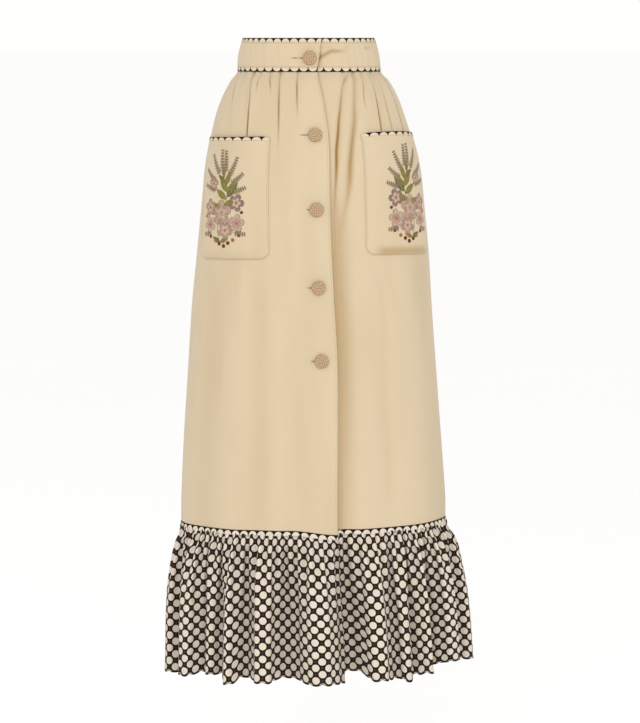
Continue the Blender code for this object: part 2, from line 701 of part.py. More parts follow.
def flounce():
    """Three widths of printed cloth, gathered to the strip."""
    seam = 0.5 * FLOUNCE_SEAM_GAP / GATHER_CUT
    share, z, out = flounce_grid(-FLOUNCE_SIDE_GATHERS + seam, FLOUNCE_EDGE_GATHERS)
    out += carried_folds(overlap_relief, share, z)
    points = cloth_point(share, flounce_hang(share, z, True), out)
    cloth_piece("flounce_right", points, FLOUNCE_WALL, dot_print)
    share, z, out = flounce_grid(-FLOUNCE_UNDERLAP_GATHERS, FLOUNCE_SIDE_GATHERS - seam)
    out += carried_folds(underlap_relief, share, z) - flounce_inset(share, z)
    points = cloth_point(share, flounce_hang(share, z, False), out)
    cloth_piece("flounce_left", points, FLOUNCE_WALL, dot_print)
    all_gathers = sum(all_waves()[1])
    share, z, out = flounce_grid(FLOUNCE_SIDE_GATHERS + seam, all_gathers - FLOUNCE_SIDE_GATHERS - seam)
    out += carried_folds(relief, share, z)
    points = cloth_point(share, flounce_hang(share, z, False), out)
    cloth_piece("flounce_back", points, FLOUNCE_WALL, dot_print)


def button_profile():
    """Half the button's outline, from the middle of its dome down its outer side to the foot of its shank."""
    dome = [
        (BUTTON_RADIUS * math.sin(turn), BUTTON_THICKNESS * (0.45 + 0.55 * math.cos(turn)))
        for turn in (0.0, 0.55, 1.1, math.pi / 2)
    ]
    under = [(BUTTON_BACK, 0.0), (BUTTON_SHANK, 0.0), (BUTTON_SHANK, -BUTTON_LIFT), (0.0, -BUTTON_LIFT)]
    return dome + under


def button(number, z):
    """A domed button on a short shank, square to the cloth that it lies on."""
    mesh = bpy.data.meshes.new(f"button_{number}")
    shape = bmesh.new()
    ring = [shape.verts.new((x, 0.0, up)) for x, up in button_profile()]
    for here, after in zip(ring[:-1], ring[1:]):
        shape.edges.new((here, after))
    shape.to_mesh(mesh)
    shape.free()
    made = bpy.data.objects.new(f"button_{number}", mesh)
    skirt.objects.link(made)
    turn = made.modifiers.new("turn", "SCREW")
    turn.axis = "Z"
    turn.steps = turn.render_steps = BUTTON_SIDES
    turn.use_merge_vertices = True
    turn.merge_threshold = 0.00005
    turn.use_normal_calculate = True
    here = cloth_point(0.0, z, overlap_relief(0.0, z))
    along = cloth_point(0.01, z, 0.0) - cloth_point(-0.01, z, 0.0)
    up = cloth_point(0.0, z + 0.004, 0.0) - cloth_point(0.0, z - 0.004, 0.0)
    outward = Vector(np.cross(along, up)).normalized()
    made.rotation_euler = outward.to_track_quat("Z", "Y").to_euler()
    made.location = Vector(here) + (GAP + BUTTON_LIFT) * outward
    made.data.materials.append(straw)


for old in list(bpy.data.objects):
    bpy.data.objects.remove(old)
skirt = bpy.data.collections.new("maxi_skirt")
bpy.context.scene.collection.children.link(skirt)
buttermilk = material("buttermilk_cloth", BUTTERMILK, 0.75)
dot_print = material("dotted_cloth", PRINT, 0.75)
straw = material("button_straw", STRAW, 0.6)

waistband()
panels()
for patch in POCKETS:
    pocket_parts(patch)
strips()
flounce()
for index, height in enumerate(BUTTON_HEIGHTS):
    button(index + 1, height)
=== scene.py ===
"""The looks of a maxi skirt: its cloth, prints, trims, gathers, embroidery and buttons.

Units are metres, in the frame of the solids: +Z is up, the front faces -Y and +X is the wearer's left.
A place round the garment is its share of the ring: 0 at centre front, positive to the wearer's left, 0.25
at the left side seam and 0.5 at centre back. Each cloth piece keeps two attributes at its points: its
place on the flat cloth in cloth_place, which the weave and the prints read, and in fold_shade how much
painted shade it takes, which darkens its colour: in creases, gathers, fold troughs and the flounce's
valleys, in the sag above a pocket's bottom, and as a painted shadow beside the overlap's edge.
"""
import math
from collections import namedtuple

import bpy
import numpy as np
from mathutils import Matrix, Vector


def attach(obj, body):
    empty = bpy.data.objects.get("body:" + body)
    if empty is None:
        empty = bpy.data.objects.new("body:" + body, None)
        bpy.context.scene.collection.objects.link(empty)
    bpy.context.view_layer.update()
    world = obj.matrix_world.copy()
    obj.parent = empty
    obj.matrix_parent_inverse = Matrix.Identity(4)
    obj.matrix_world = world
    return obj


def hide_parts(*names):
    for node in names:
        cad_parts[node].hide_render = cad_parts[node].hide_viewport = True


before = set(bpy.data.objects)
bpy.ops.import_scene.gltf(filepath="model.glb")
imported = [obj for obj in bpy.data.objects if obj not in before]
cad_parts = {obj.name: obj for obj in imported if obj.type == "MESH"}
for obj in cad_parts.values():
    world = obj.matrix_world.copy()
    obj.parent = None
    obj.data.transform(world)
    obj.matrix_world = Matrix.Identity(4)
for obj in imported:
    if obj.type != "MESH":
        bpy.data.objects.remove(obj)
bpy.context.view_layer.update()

# The solids' own sizes
BAND_HALF = 0.027
SEAM_Z = -0.764
STRIP_HEIGHT = 0.008
HEM_Z = -1.010
GAP = 0.0003
SIDE_SEAM = 0.25
UNDERLAP = 0.025
UNDERLAP_INSET = 0.0042
INSET_FADE = 0.040
SEAM_CALM = 0.016
WAIST_TRIM_HEIGHT = 0.007
SEAM_LEAN = 0.0033
LEAN_REACH = 0.22
OVERLAP_DIP = 0.008
DIP_START = -0.045
DIP_END = 0.021

# The rings of the garment: half its width to each side and its depth to front and back
Section = namedtuple("Section", "z right left front back")
SECTIONS = (
    Section(-1.040, 0.230, 0.266, 0.165, 0.181),
    Section(-1.010, 0.228, 0.263, 0.162, 0.178),
    Section(-0.917, 0.225, 0.255, 0.155, 0.170),
    Section(-0.836, 0.220, 0.244, 0.148, 0.162),
    Section(-0.800, 0.216, 0.239, 0.143, 0.156),
    Section(-0.772, 0.212, 0.229, 0.139, 0.153),
    Section(-0.728, 0.211, 0.227, 0.138, 0.152),
    Section(-0.621, 0.206, 0.219, 0.137, 0.151),
    Section(-0.515, 0.199, 0.211, 0.136, 0.150),
    Section(-0.409, 0.192, 0.203, 0.135, 0.149),
    Section(-0.330, 0.184, 0.198, 0.134, 0.148),
    Section(-0.250, 0.176, 0.190, 0.132, 0.146),
    Section(-0.172, 0.168, 0.179, 0.127, 0.139),
    Section(-0.120, 0.157, 0.164, 0.120, 0.131),
    Section(-0.093, 0.150, 0.155, 0.114, 0.124),
    Section(-0.067, 0.140, 0.145, 0.107, 0.115),
    Section(-0.041, 0.126, 0.130, 0.098, 0.102),
    Section(-0.0275, 0.116, 0.118, 0.091, 0.094),
    Section(-0.0270, 0.116, 0.118, 0.091, 0.094),
    Section(0.000, 0.1145, 0.115, 0.090, 0.092),
    Section(0.027, 0.1075, 0.108, 0.088, 0.090),
)

# The buttoned edge: where centre front lies across, and how far the overlap goes past it
Closing = namedtuple("Closing", "z centre_x past")
CLOSING = (
    Closing(-1.040, 0.0310, 0.0370),
    Closing(-0.900, 0.0270, 0.0310),
    Closing(-0.772, 0.0230, 0.0250),
    Closing(-0.489, 0.0212, 0.0260),
    Closing(-0.371, 0.0164, 0.0240),
    Closing(-0.246, 0.0132, 0.0220),
    Closing(-0.127, 0.0108, 0.0215),
    Closing(-0.067, 0.0060, 0.0170),
    Closing(-0.027, 0.0035, 0.0115),
    Closing(0.000, 0.0020, 0.0160),
    Closing(0.027, 0.0010, 0.0205),
)

# The waist gathers: where each starts and where it fades, how far it hangs and how deep it is at the waist
Gather = namedtuple("Gather", "share low_share length depth")
FRONT_GATHERS = (
    Gather(-0.212, -0.172, 0.100, 0.0030),
    Gather(-0.182, -0.150, 0.060, 0.0022),
    Gather(-0.152, -0.126, 0.125, 0.0042),
    Gather(-0.130, -0.106, 0.035, 0.0024),
    Gather(-0.101, -0.084, 0.035, 0.0024),
    Gather(-0.076, -0.068, 0.085, 0.0036),
    Gather(-0.031, -0.031, 0.080, 0.0020),
    Gather(0.042, 0.029, 0.060, 0.0016),
    Gather(0.084, 0.036, 0.130, 0.0042),
    Gather(0.111, 0.052, 0.145, 0.0040),
    Gather(0.135, 0.100, 0.060, 0.0026),
    Gather(0.168, 0.130, 0.120, 0.0040),
    Gather(0.190, 0.156, 0.070, 0.0024),
    Gather(0.214, 0.182, 0.110, 0.0034),
)
BACK_GATHERS = 14
BACK_GATHER_LENGTHS = (0.110, 0.060, 0.085, 0.045, 0.125, 0.070, 0.095)
BACK_GATHER_DEPTHS = (0.0038, 0.0026, 0.0032, 0.0024, 0.0040, 0.0028, 0.0034)
GATHER_WIDTH = 0.0045
GATHER_SPREAD = 1.4

# Long soft folds of the cloth, from top to bottom: a negative depth is a trough and a positive one a ridge
Fold = namedtuple("Fold", "z share low_z low_share depth width")
FOLDS = (
    Fold(-0.030, 0.083, -0.190, 0.030, -0.0035, 0.010),
    Fold(-0.030, 0.110, -0.260, 0.030, -0.0050, 0.011),
    Fold(-0.200, 0.032, -0.800, 0.034, -0.0055, 0.014),
    Fold(-0.300, 0.060, -0.800, 0.060, 0.0030, 0.026),
    Fold(-0.340, 0.098, -0.760, 0.098, -0.0022, 0.012),
    Fold(-0.340, 0.135, -0.800, 0.140, 0.0025, 0.030),
    Fold(-0.300, 0.190, -0.820, 0.196, -0.0035, 0.030),
    Fold(-0.090, -0.066, -0.760, -0.030, -0.0022, 0.012),
    Fold(-0.300, -0.066, -0.800, -0.060, 0.0022, 0.018),
    Fold(-0.320, -0.095, -0.800, -0.092, -0.0030, 0.022),
    Fold(-0.320, -0.131, -0.800, -0.128, 0.0028, 0.024),
    Fold(-0.320, -0.176, -0.820, -0.182, -0.0035, 0.028),
    Fold(-0.140, 0.300, -0.820, 0.300, -0.0045, 0.026),
    Fold(-0.180, 0.350, -0.820, 0.346, 0.0035, 0.030),
    Fold(-0.120, 0.396, -0.820, 0.402, -0.0050, 0.026),
    Fold(-0.200, 0.450, -0.820, 0.455, 0.0035, 0.034),
    Fold(-0.120, 0.505, -0.820, 0.500, -0.0045, 0.028),
    Fold(-0.180, 0.556, -0.820, 0.552, 0.0035, 0.032),
    Fold(-0.130, 0.610, -0.820, 0.606, -0.0050, 0.026),
    Fold(-0.160, 0.660, -0.820, 0.664, 0.0030, 0.030),
    Fold(-0.150, 0.705, -0.820, 0.708, -0.0040, 0.026),
)
FOLD_FADE = 0.060
DEEPEST_FOLD = 0.0050

# The long folds that start below the hips, whose troughs take a faint painted shade
HIP_Z = -0.25
SHADED_FOLDS = tuple(fold for fold in FOLDS if fold.z < HIP_Z)
FOLD_TROUGH_SHADE = 0.13

# Where a panel starts to follow its leaning seam, and how near the overlap the layer underneath is flat
PANEL_HANG_ROW = -0.322
UNDER_CALM = 0.012

# The narrow creases that the cloth is folded into: the route of each, its depth and width, and where along
# the route it is deepest
Crease = namedtuple("Crease", "route depth width deepest")
FRONT_CREASES = (
    Crease(((-0.028, -0.202), (-0.073, -0.179), (-0.110, -0.170)), 0.0016, 0.0012, 0.35),
    Crease(((-0.030, -0.154), (-0.067, -0.133), (-0.091, -0.129), (-0.150, -0.124)), 0.0028, 0.0014, 0.75),
    Crease(((-0.028, -0.130), (-0.047, -0.124), (-0.066, -0.119)), 0.0016, 0.0010, 0.45),
    Crease(((-0.028, -0.103), (-0.053, -0.089), (-0.066, -0.086)), 0.0018, 0.0010, 0.45),
    Crease(((-0.028, -0.076), (-0.056, -0.069), (-0.170, -0.065)), 0.0022, 0.0012, 0.40),
    Crease(((-0.028, -0.032), (-0.087, -0.030), (-0.115, -0.030)), 0.0020, 0.0011, 0.30),
    Crease(
        ((-0.028, 0.097), (-0.048, 0.071), (-0.069, 0.060), (-0.088, 0.053), (-0.103, 0.0475),
         (-0.132, 0.041), (-0.151, 0.037), (-0.175, 0.035), (-0.199, 0.033), (-0.230, 0.031),
         (-0.290, 0.029)),
        0.0030, 0.0024, 0.45,
    ),
    Crease(
        ((-0.028, 0.109), (-0.064, 0.091), (-0.104, 0.079), (-0.127, 0.071), (-0.151, 0.064),
         (-0.175, 0.0595), (-0.199, 0.0565), (-0.231, 0.050), (-0.270, 0.041), (-0.310, 0.035)),
        0.0021, 0.0040, 0.50,
    ),
    Crease(((-0.028, 0.134), (-0.064, 0.112), (-0.100, 0.105)), 0.0014, 0.0012, 0.50),
    Crease(((-0.028, 0.153), (-0.059, 0.142), (-0.092, 0.133), (-0.150, 0.122)), 0.0030, 0.0012, 0.70),
    Crease(((-0.036, 0.176), (-0.089, 0.159), (-0.140, 0.153)), 0.0016, 0.0018, 0.70),
    Crease(((-0.040, 0.214), (-0.093, 0.195), (-0.150, 0.184)), 0.0028, 0.0014, 0.75),
)
CREASE_TOP = -0.028
BACK_CREASE_DEPTH = 0.65
BACK_CREASE_WIDTH = 0.0013
BACK_CREASE_REACH = 1.15
BACK_CREASE_SWAY = 0.004
CREASE_LIP = 0.30
CREASE_SHOULDER = 2.6
# The painted shade in creases and gathers: the depth shaded fully, its spread, its fall and a gather's part
DEEPEST_CREASE = 0.0025
CREASE_HALO = 1.2
CREASE_FALL = 1.3
GATHER_SHADE = 0.12
# How deep a crease is where it meets the waistband, as a part of its deepest
WAISTBAND_GRIP = 0.35

# The painted shadow on the layer underneath beside the overlap's edge: how strong it is, and how far it
# reaches
Shadow = namedtuple("Shadow", "z strength reach")
EDGE_SHADOWS = (
    Shadow(-0.764, 0.50, 0.015),
    Shadow(-0.600, 0.52, 0.018),
    Shadow(-0.280, 0.50, 0.021),
    Shadow(-0.200, 0.30, 0.006),
    Shadow(0.030, 0.30, 0.004),
)

# The waistband's pucker, its creases beside the button, the lift of its overlapping end, and the painted
# shadow beside that end
BAND_PUFF = 0.0009
BAND_RIPPLE = 0.0005
BAND_CREASES = (
    Crease(((0.0055, 0.110), (0.006, 0.060), (0.001, 0.040), (-0.007, 0.018)), 0.0018, 0.0030, 0.4),
    Crease(((0.013, 0.120), (0.011, 0.094)), 0.0014, 0.0018, 0.5),
    Crease(((0.013, 0.205), (0.010, 0.150)), 0.0009, 0.0024, 0.5),
)
BAND_DIM = 2.2
BAND_DIM_TOP = 0.008
BAND_END_LIFT = 0.0016
BAND_END_REACH = 0.020
BAND_CREASE_START = 0.006
BAND_CREASE_END = 0.050
BAND_RIPPLES = 37
BAND_RIPPLE_TURNS = 11
BAND_ROWS = 29
BAND_COLUMNS = 361

# The patch pockets: heights of the mouth and of the bottom, the inner edge's share at each, how far the outer
# side hangs lower, how far the mouth arches, and how strong the painted shade on the sag above the bottom is
Pocket = namedtuple("Pocket", "name side top bottom top_share low_share tilt arch dim")
POCKETS = (
    Pocket("right", -1, -0.1290, -0.3255, -0.0795, -0.0742, 0.0045, 0.0, 0.12),
    Pocket("left", 1, -0.1240, -0.3190, 0.0835, 0.0760, 0.0035, 0.0032, 0.60),
)
POCKET_WIDTH = 0.143
POCKET_CORNER = 0.015
POCKET_PUFF = 0.0022
POCKET_TRIM_HEIGHT = 0.0065
POCKET_STANDOFF = 0.0020
POCKET_EDGE_PRESS = 0.0006
POCKET_EDGE_REACH = 0.0030
MOUTH_DROOP = 0.0030
MOUTH_DROOP_REACH = 0.007
MOUTH_GAPE = 0.0012
POCKET_SAG_DEPTH = 0.0011
POCKET_SAG_HEIGHT = 0.011
POCKET_SAG_WIDTH = 0.0045
POCKET_SAG_FADE = 0.2
MOUTH_GAPE_REACH = 0.12
POCKET_SHADE_HEIGHT = 0.0060
POCKET_SHADE_WIDTH = 0.0066
POCKET_SHADE_START = 0.07
POCKET_SHADE_RISE = 0.16
POCKET_SHADE_END = 0.20
POCKET_COLUMNS = 73
POCKET_ROWS = 76

# The flounce: valleys of its waves at the hem, and the seam gathers that run into each wave
Wave = namedtuple("Wave", "share gathers")
FRONT_WAVES = (
    Wave(-0.262, 4),
    Wave(-0.214, 4),
    Wave(-0.166, 2),
    Wave(-0.143, 3),
    Wave(-0.106, 4),
    Wave(-0.052, 6),
    Wave(0.037, 4),
    Wave(0.094, 2),
    Wave(0.117, 3),
    Wave(0.150, 4),
    Wave(0.199, 4),
)
BACK_WAVE_WIDTHS = (0.052, 0.041, 0.058, 0.046, 0.050, 0.043, 0.056, 0.047, 0.052, 0.043)
BACK_WAVE_START = 0.250
BACK_WAVE_GATHERS = 4
GATHER_CUT = 0.025
GATHERS_BEFORE_FRONT = 20.5
SHIFTED_WAVE = 6
SEAM_SHIFT = -0.0045
FLOUNCE_EDGE_GATHERS = 1.75
FLOUNCE_UNDERLAP_GATHERS = 2.0
FLOUNCE_SIDE_GATHERS = 19.75
FLOUNCE_STRAIGHT = 0.025
FLOUNCE_SEAM_GAP = 0.0007
STEPS_PER_GATHER = 16
HEM_WAVE_PART = 0.94
WAVE_GROWTH = 0.55
SEAM_FLATTENING = 0.5
FLATTENED_PART = 0.10
TOP_SETBACK = 0.0015
HEM_SETBACK = 0.0030
FLOUNCE_INSET = 0.0105
FOLD_CARRY = 0.40
STEEPEST = 2.0

# How far the hem lies above its usual height
Lift = namedtuple("Lift", "share lift")
HEM_LIFTS = (
    Lift(-0.500, 0.0000),
    Lift(-0.300, -0.0040),
    Lift(-0.214, -0.0060),
    Lift(-0.174, 0.0040),
    Lift(-0.145, 0.0060),
    Lift(-0.124, -0.0045),
    Lift(-0.106, 0.0040),
    Lift(-0.084, 0.0010),
    Lift(-0.052, 0.0060),
    Lift(-0.011, 0.0015),
    Lift(0.027, -0.0010),
    Lift(0.033, 0.0150),
    Lift(0.046, 0.0130),
    Lift(0.056, 0.0060),
    Lift(0.094, 0.0010),
    Lift(0.106, -0.0030),
    Lift(0.120, 0.0065),
    Lift(0.132, 0.0080),
    Lift(0.150, 0.0160),
    Lift(0.173, 0.0220),
    Lift(0.199, 0.0160),
    Lift(0.300, 0.0090),
    Lift(0.500, 0.0000),
)
OVERLAP_LIFT_END = 0.027
UNDERLAP_LIFT_START = 0.033

# The buttons, from the waistband down, and the painted shade that darkens each button's rim
BUTTON_HEIGHTS = (-0.005, -0.127, -0.246, -0.371, -0.489)
BUTTON_TURNS = (0.35, 0.60, 0.20, 0.45, 0.05)
BUTTON_RADIUS = 0.0112
BUTTON_THICKNESS = 0.0062
BUTTON_BACK = 0.0096
BUTTON_SHANK = 0.0030
BUTTON_LIFT = 0.0016
BUTTON_CORD = 0.0037
BUTTON_RELIEF = 0.0009
BUTTON_RIM = 0.92
BUTTON_RIM_HEIGHT = 0.36
BUTTON_RIM_WIDTH = 0.07
BUTTON_RIM_SHADE = 0.55
BUTTON_WARP = 0.34
BUTTON_GRID = 56
# The underside's rings: radius, height, and how light the straw is painted, darker inward as painted shade
BUTTON_UNDERSIDE = (
    (BUTTON_RADIUS, 0.0016, 0.7),
    (BUTTON_BACK, 0.0, 0.4),
    (BUTTON_SHANK, 0.0, 0.2),
    (BUTTON_SHANK, -BUTTON_LIFT, 0.2),
)

# Thicknesses of the cloths as they show, and how finely each is modelled
CREAM_WALL = 0.0008
BAND_WALL = 0.0016
TRIM_WALL = 0.0005
TRIM_ROWS = 6
NARROWEST_CUT = 0.010
PRINT_WALL = 0.0005
PANEL_ROW_BANDS = ((-0.0273, -0.170, 0.0030), (-0.170, -0.330, 0.0060), (-0.330, SEAM_Z, 0.0100))
CREASE_OFFSETS = (0.0004, 0.0009, 0.0015, 0.0023, 0.0036)
PANEL_COLUMN = 0.0045
CREASE_SHARE_OF_GAP = 0.38
STRIP_COLUMNS = 620
STRIP_ROWS = 7
STRIP_BULGE = 0.0004
EDGE_ROLL = 0.0009
EDGE_ROLL_REACH = 0.0016
FLOUNCE_ROW_STEPS = 44
FLOUNCE_TUCK_DEPTH = 0.0022
FLOUNCE_TOP_DEPTH = 0.0030
STEP_WIDTH = 0.45
FLOUNCE_LAP = 0.0024
FLOUNCE_LAP_TURN = 0.0006
FLOUNCE_LAP_STAND = 0.0011
FLOUNCE_LAP_CLOSE = 0.0004
FLOUNCE_LAPS = ((FLOUNCE_LAP, FLOUNCE_LAP_STAND), (FLOUNCE_LAP + FLOUNCE_LAP_TURN, FLOUNCE_LAP_CLOSE))
# The painted shade in the flounce's valleys: its strength, the columns searched for crests, its full depth
FLOUNCE_SHADE = 0.55
FOLD_WINDOW = 64
FOLD_FULL_DEPTH = 0.030

# The prints
DOT_REPEAT = 0.0209
DOT_RADIUS = 0.0059
DOT_PATCH_START = 0.0082
DOT_PATCH_END = 0.0098
FIRST_DOT = 0.0082
SCALLOP_RADIUS = 0.0160
SCALLOP_BLEND = 0.012
HEM_BINDING = 0.0010
HEM_DROP = 0.0015
WAIST_TRIM_PITCH = 0.0145
STRIP_PITCH = 0.0143
POCKET_TRIM_PITCH = 0.0172
POCKET_TRIM_START = 0.0130
CORNER_FADE = 0.0026
CORNER_FADE_REACH = 0.011
TRIM_DOT_PART = 0.462
TRIM_SLOPE = 0.0022
TRIM_LINE = 0.0009
TRIM_MERGE = 0.45
PRINT_SHAKE = 0.0009

# The fine texture of the cloths, threads and straw: how close it lies, how much it tones, how deep it is,
# and how much of the painted shade in the flounce's valleys the print takes
WEAVE = 0.0008
STREAK_SCALES = (16.0, 3.5)
SLUB_SCALES = (60.0, 1400.0)
SLUB_PART = 0.16
WEAVE_PART = 0.05
WRINKLE_SCALES = (34.0, 9.0)
WRINKLE_PART = 6.0
CREAM_BUMP = 0.00012
PRINT_BUMP = 0.00008
MOTTLE_PART = 0.22
PRINT_FOLD_PART = 0.5
THREAD_DEEP = 0.62
THREAD_BUMP = 0.0002
STRAW_BUMP = 0.00025

# The colours of the cloths, threads and buttons, and of the painted shade that darkens the cream, the print
# in the flounce's valleys, the buttonhole slits, and the straw in its hollows, at its rims and underneath
CREAM_LIGHT = "c8b698"
CREAM_SHADE = "c3b091"
CREAM_SLUB = "b59f78"
CREAM_PAINTED_SHADE = "9a7740"
PRINT_GROUND = "402e23"
PRINT_DARK = "1e140e"
DOT_CREAM = "d3c8b8"
DOT_PINK = "cfc0b4"
DOT_YELLOW = "d1c7b1"
DOT_MOTTLE = "aca194"
PRINT_PAINTED_SHADE = "1d130c"
DOT_TINTS = (DOT_CREAM, DOT_PINK, DOT_YELLOW)
TRIM_TINTS = ("cfc0a5", "cfbdad", "cdc5a8")
STRIP_TINTS = (DOT_CREAM, DOT_PINK, DOT_CREAM)
TRIM_DARK = "1c1009"
STITCH = "c6b392"
SLIT_SHADE = "7d5f3c"
STRAW_LIGHT = "cdb28d"
STRAW_DEEP = "ab8c67"
STRAW_HOLLOW_SHADE = "6d5136"
FLOSS = {
    "taupe": "927d63",
    "olive": "9a9140",
    "moss": "767745",
    "rose": "c49c8d",
    "blush": "d3baa6",
    "mauve": "a07e77",
    "brown": "7a5c4c",
    "rust": "823522",
    "amber": "b97c3c",
}

# A stitch's width and height at points along it, as parts of its widest and highest
STITCH_STATIONS = (
    (0.00, 0.35, 0.30),
    (0.22, 0.90, 0.80),
    (0.50, 1.00, 1.00),
    (0.78, 0.90, 0.80),
    (1.00, 0.35, 0.30),
)

# Lines of stitches: how far apart they start, the part of that which each fills, its width and its height
Line = namedtuple("Line", "pitch part width height")
SEWING = Line(0.0034, 0.78, 0.0006, 0.00035)
LEAF_VEIN = Line(0.0030, 1.05, 0.0006, 0.00055)
PETAL_RIM = Line(0.0024, 1.05, 0.0009, 0.00060)
BERRY_RIM = Line(0.0022, 1.05, 0.0006, 0.0006)
FERN_STEM = Line(0.0026, 1.1, 0.0007, 0.0005)
SPRAY_STEM = Line(0.0028, 1.15, 0.0011, 0.0006)

# The threads that fill a leaf, a petal and a berry by width and height, how close they lie, and the knots
LEAF_THREAD = (0.00085, 0.00040)
PETAL_FOOT_THREAD = (0.0010, 0.00045)
PETAL_END_THREAD = (0.0011, 0.00040)
BERRY_THREAD = (0.00095, 0.00055)
BERRY_PITCH = 0.00075
KNOT_RADIUS = 0.0011
KNOT_HEIGHT = 0.0007
PETAL_THREADS = 15

# The two leaves at each side of a fern's joint: how far each turns out, its part of the length and its width
FERN_LEAVES = ((0.95, 1.0, 0.0024), (0.45, 0.8, 0.0016))
FERN_LEAF_HEIGHT = 0.0005
FERN_LEAF_LENGTH = 0.0080
FERN_PITCH = 0.0046
FERN_BEND = 0.35

# The sewing and the buttonholes
POCKET_STITCH_INSET = 0.0025
EDGE_STITCH_INSET = 0.0030
BAND_STITCH_START = 0.03
BAND_STITCH_INSET = 0.0012
POCKET_STITCH_TOP = 0.008
EDGE_STITCH_TOP = -0.031
EDGE_STITCH_END = SEAM_Z + 0.004
BUTTONHOLE_LENGTHS = (0.0275, 0.0215, 0.0140, 0.0165, 0.0160)
BUTTONHOLE_HALF = 0.0012
BUTTONHOLE_PITCH = 0.0007
BUTTONHOLE_INNER = 0.0005
BUTTONHOLE_SLANT = 0.0001
SLIT_THREAD = (0.0010, 0.00012)
BUTTONHOLE_THREAD = (0.0007, 0.0004)
BAR_PITCH = 0.0006
BAR_THREAD = (0.0008, 0.0006)

# The spray on each pocket: where its foot lies, its size, and the places of its parts from that foot
SPRAY_ACROSS = 0.0845
SPRAY_SCALE = 0.96
SPRAY_FOOT = 0.0235
TAUPE, OLIVE, MOSS, ROSE, BLUSH, MAUVE, BROWN, RUST, AMBER = range(9)
STEM_HEIGHT = 0.126
STEM_SWING = 0.011
STEM_WAVE = 0.125
SPRAY_FERNS = (
    ((-0.006, 0.118), 1.75, 0.036),
    ((-0.002, 0.122), 1.30, 0.034),
    ((-0.012, 0.112), 2.25, 0.036),
    ((0.004, 0.116), 0.85, 0.038),
    ((-0.016, 0.100), 2.70, 0.030),
    ((0.012, 0.104), 0.45, 0.036),
    ((0.012, 0.092), 0.05, 0.034),
    ((-0.020, 0.088), 3.05, 0.026),
    ((0.024, 0.020), -0.30, 0.020),
    ((-0.022, 0.022), 3.50, 0.022),
)
SPRAY_LEAVES = (
    (0.004, 1, 1.10, 0.020, MOSS),
    (0.004, -1, 1.20, 0.020, OLIVE),
    (0.060, 1, 1.25, 0.026, OLIVE),
    (0.066, -1, 1.20, 0.026, OLIVE),
    (0.076, 1, 0.95, 0.030, OLIVE),
    (0.080, -1, 0.80, 0.032, MOSS),
    (0.088, 1, 0.55, 0.032, OLIVE),
    (0.092, -1, 1.10, 0.026, OLIVE),
    (0.100, -1, 0.35, 0.026, OLIVE),
    (0.104, 1, 0.95, 0.022, MOSS),
    (0.112, 1, 0.10, 0.022, OLIVE),
)
SPRAY_BLOSSOMS = (
    ((0.022, 0.102), 0.0115, 0.40, (BLUSH, ROSE), BROWN),
    ((-0.030, 0.070), 0.0150, 0.70, (BLUSH, MAUVE), BROWN),
    ((0.030, 0.062), 0.0145, 0.20, (BLUSH, ROSE), BROWN),
    ((0.030, 0.034), 0.0140, 1.10, (ROSE, BLUSH), MAUVE),
    ((-0.030, 0.036), 0.0150, 0.50, (ROSE, BLUSH), BROWN),
    ((-0.006, 0.024), 0.0155, 0.90, (BLUSH, ROSE), MAUVE),
    ((0.002, 0.053), 0.0215, 0.30, (BLUSH, ROSE), BROWN),
)
SPRAY_BERRIES = (
    ((-0.012, 0.003), 0.0036, RUST),
    ((-0.003, -0.002), 0.0036, RUST),
    ((0.007, 0.002), 0.0036, RUST),
    ((0.016, 0.007), 0.0034, AMBER),
    ((-0.022, 0.008), 0.0034, AMBER),
    ((0.028, 0.014), 0.0032, RUST),
    ((-0.034, 0.016), 0.0032, RUST),
    ((0.042, 0.048), 0.0030, AMBER),
    ((-0.040, 0.054), 0.0030, RUST),
)

# The camera and the light
WORLD_LIGHT = 1.0
WORLD_COLOUR = (1.0, 0.995, 0.985, 1.0)
Lamp = namedtuple("Lamp", "name place size power")
LAMPS = (
    Lamp("key", (-0.3, -3.8, 0.9), (2.0, 2.4), 60.0),
    Lamp("fill", (2.4, -2.6, 0.2), (1.6, 2.4), 8.0),
)
LAMP_AIM = (0.0, 0.0, -0.5)
CAMERA_PLACE = (0.0188, -5.0, 0.0397)
CAMERA_TILT = math.radians(90 - 6.2055)
CAMERA_LENS = 151.806
FLOOR_Z = -1.420
FLOOR_SIZE = 400.0
FLOOR_TONES = ((0.97, 0.97, 0.97, 1.0), (0.98, 0.98, 0.98, 1.0))


def srgb(code):
    """A colour as the shaders take it, from its six hexadecimal digits."""
    parts = [int(code[k : k + 2], 16) / 255 for k in (0, 2, 4)]
    return tuple(p / 12.92 if p <= 0.04045 else ((p + 0.055) / 1.055) ** 2.4 for p in parts) + (1.0,)


def smooth(value):
    """0 below 0, 1 above 1, and a smooth step between."""
    t = np.clip(value, 0.0, 1.0)
    return t * t * (3.0 - 2.0 * t)


def curve_through(at, knots, values):
    """A smooth curve through the knots, which rise, with no overshoot between them."""
    knots = np.asarray(knots)
    values = np.asarray(values)
    steps = np.diff(values) / np.diff(knots)
    slopes = np.concatenate([[steps[0]], (steps[:-1] + steps[1:]) / 2, [steps[-1]]])
    flat = np.concatenate([[False], steps[:-1] * steps[1:] <= 0, [False]])
    slopes[flat] = 0.0
    at = np.clip(at, knots[0], knots[-1])
    k = np.clip(np.searchsorted(knots, at) - 1, 0, len(knots) - 2)
    width = knots[k + 1] - knots[k]
    t = (at - knots[k]) / width
    return (
        values[k] * (1 + 2 * t) * (1 - t) ** 2
        + slopes[k] * width * t * (1 - t) ** 2
        + values[k + 1] * t * t * (3 - 2 * t)
        + slopes[k + 1] * width * t * t * (t - 1)
    )


def section_at(z, column):
    return curve_through(z, [row.z for row in SECTIONS], [getattr(row, column) for row in SECTIONS])


def closing_at(z, column):
    return curve_through(z, [row.z for row in CLOSING], [getattr(row, column) for row in CLOSING])


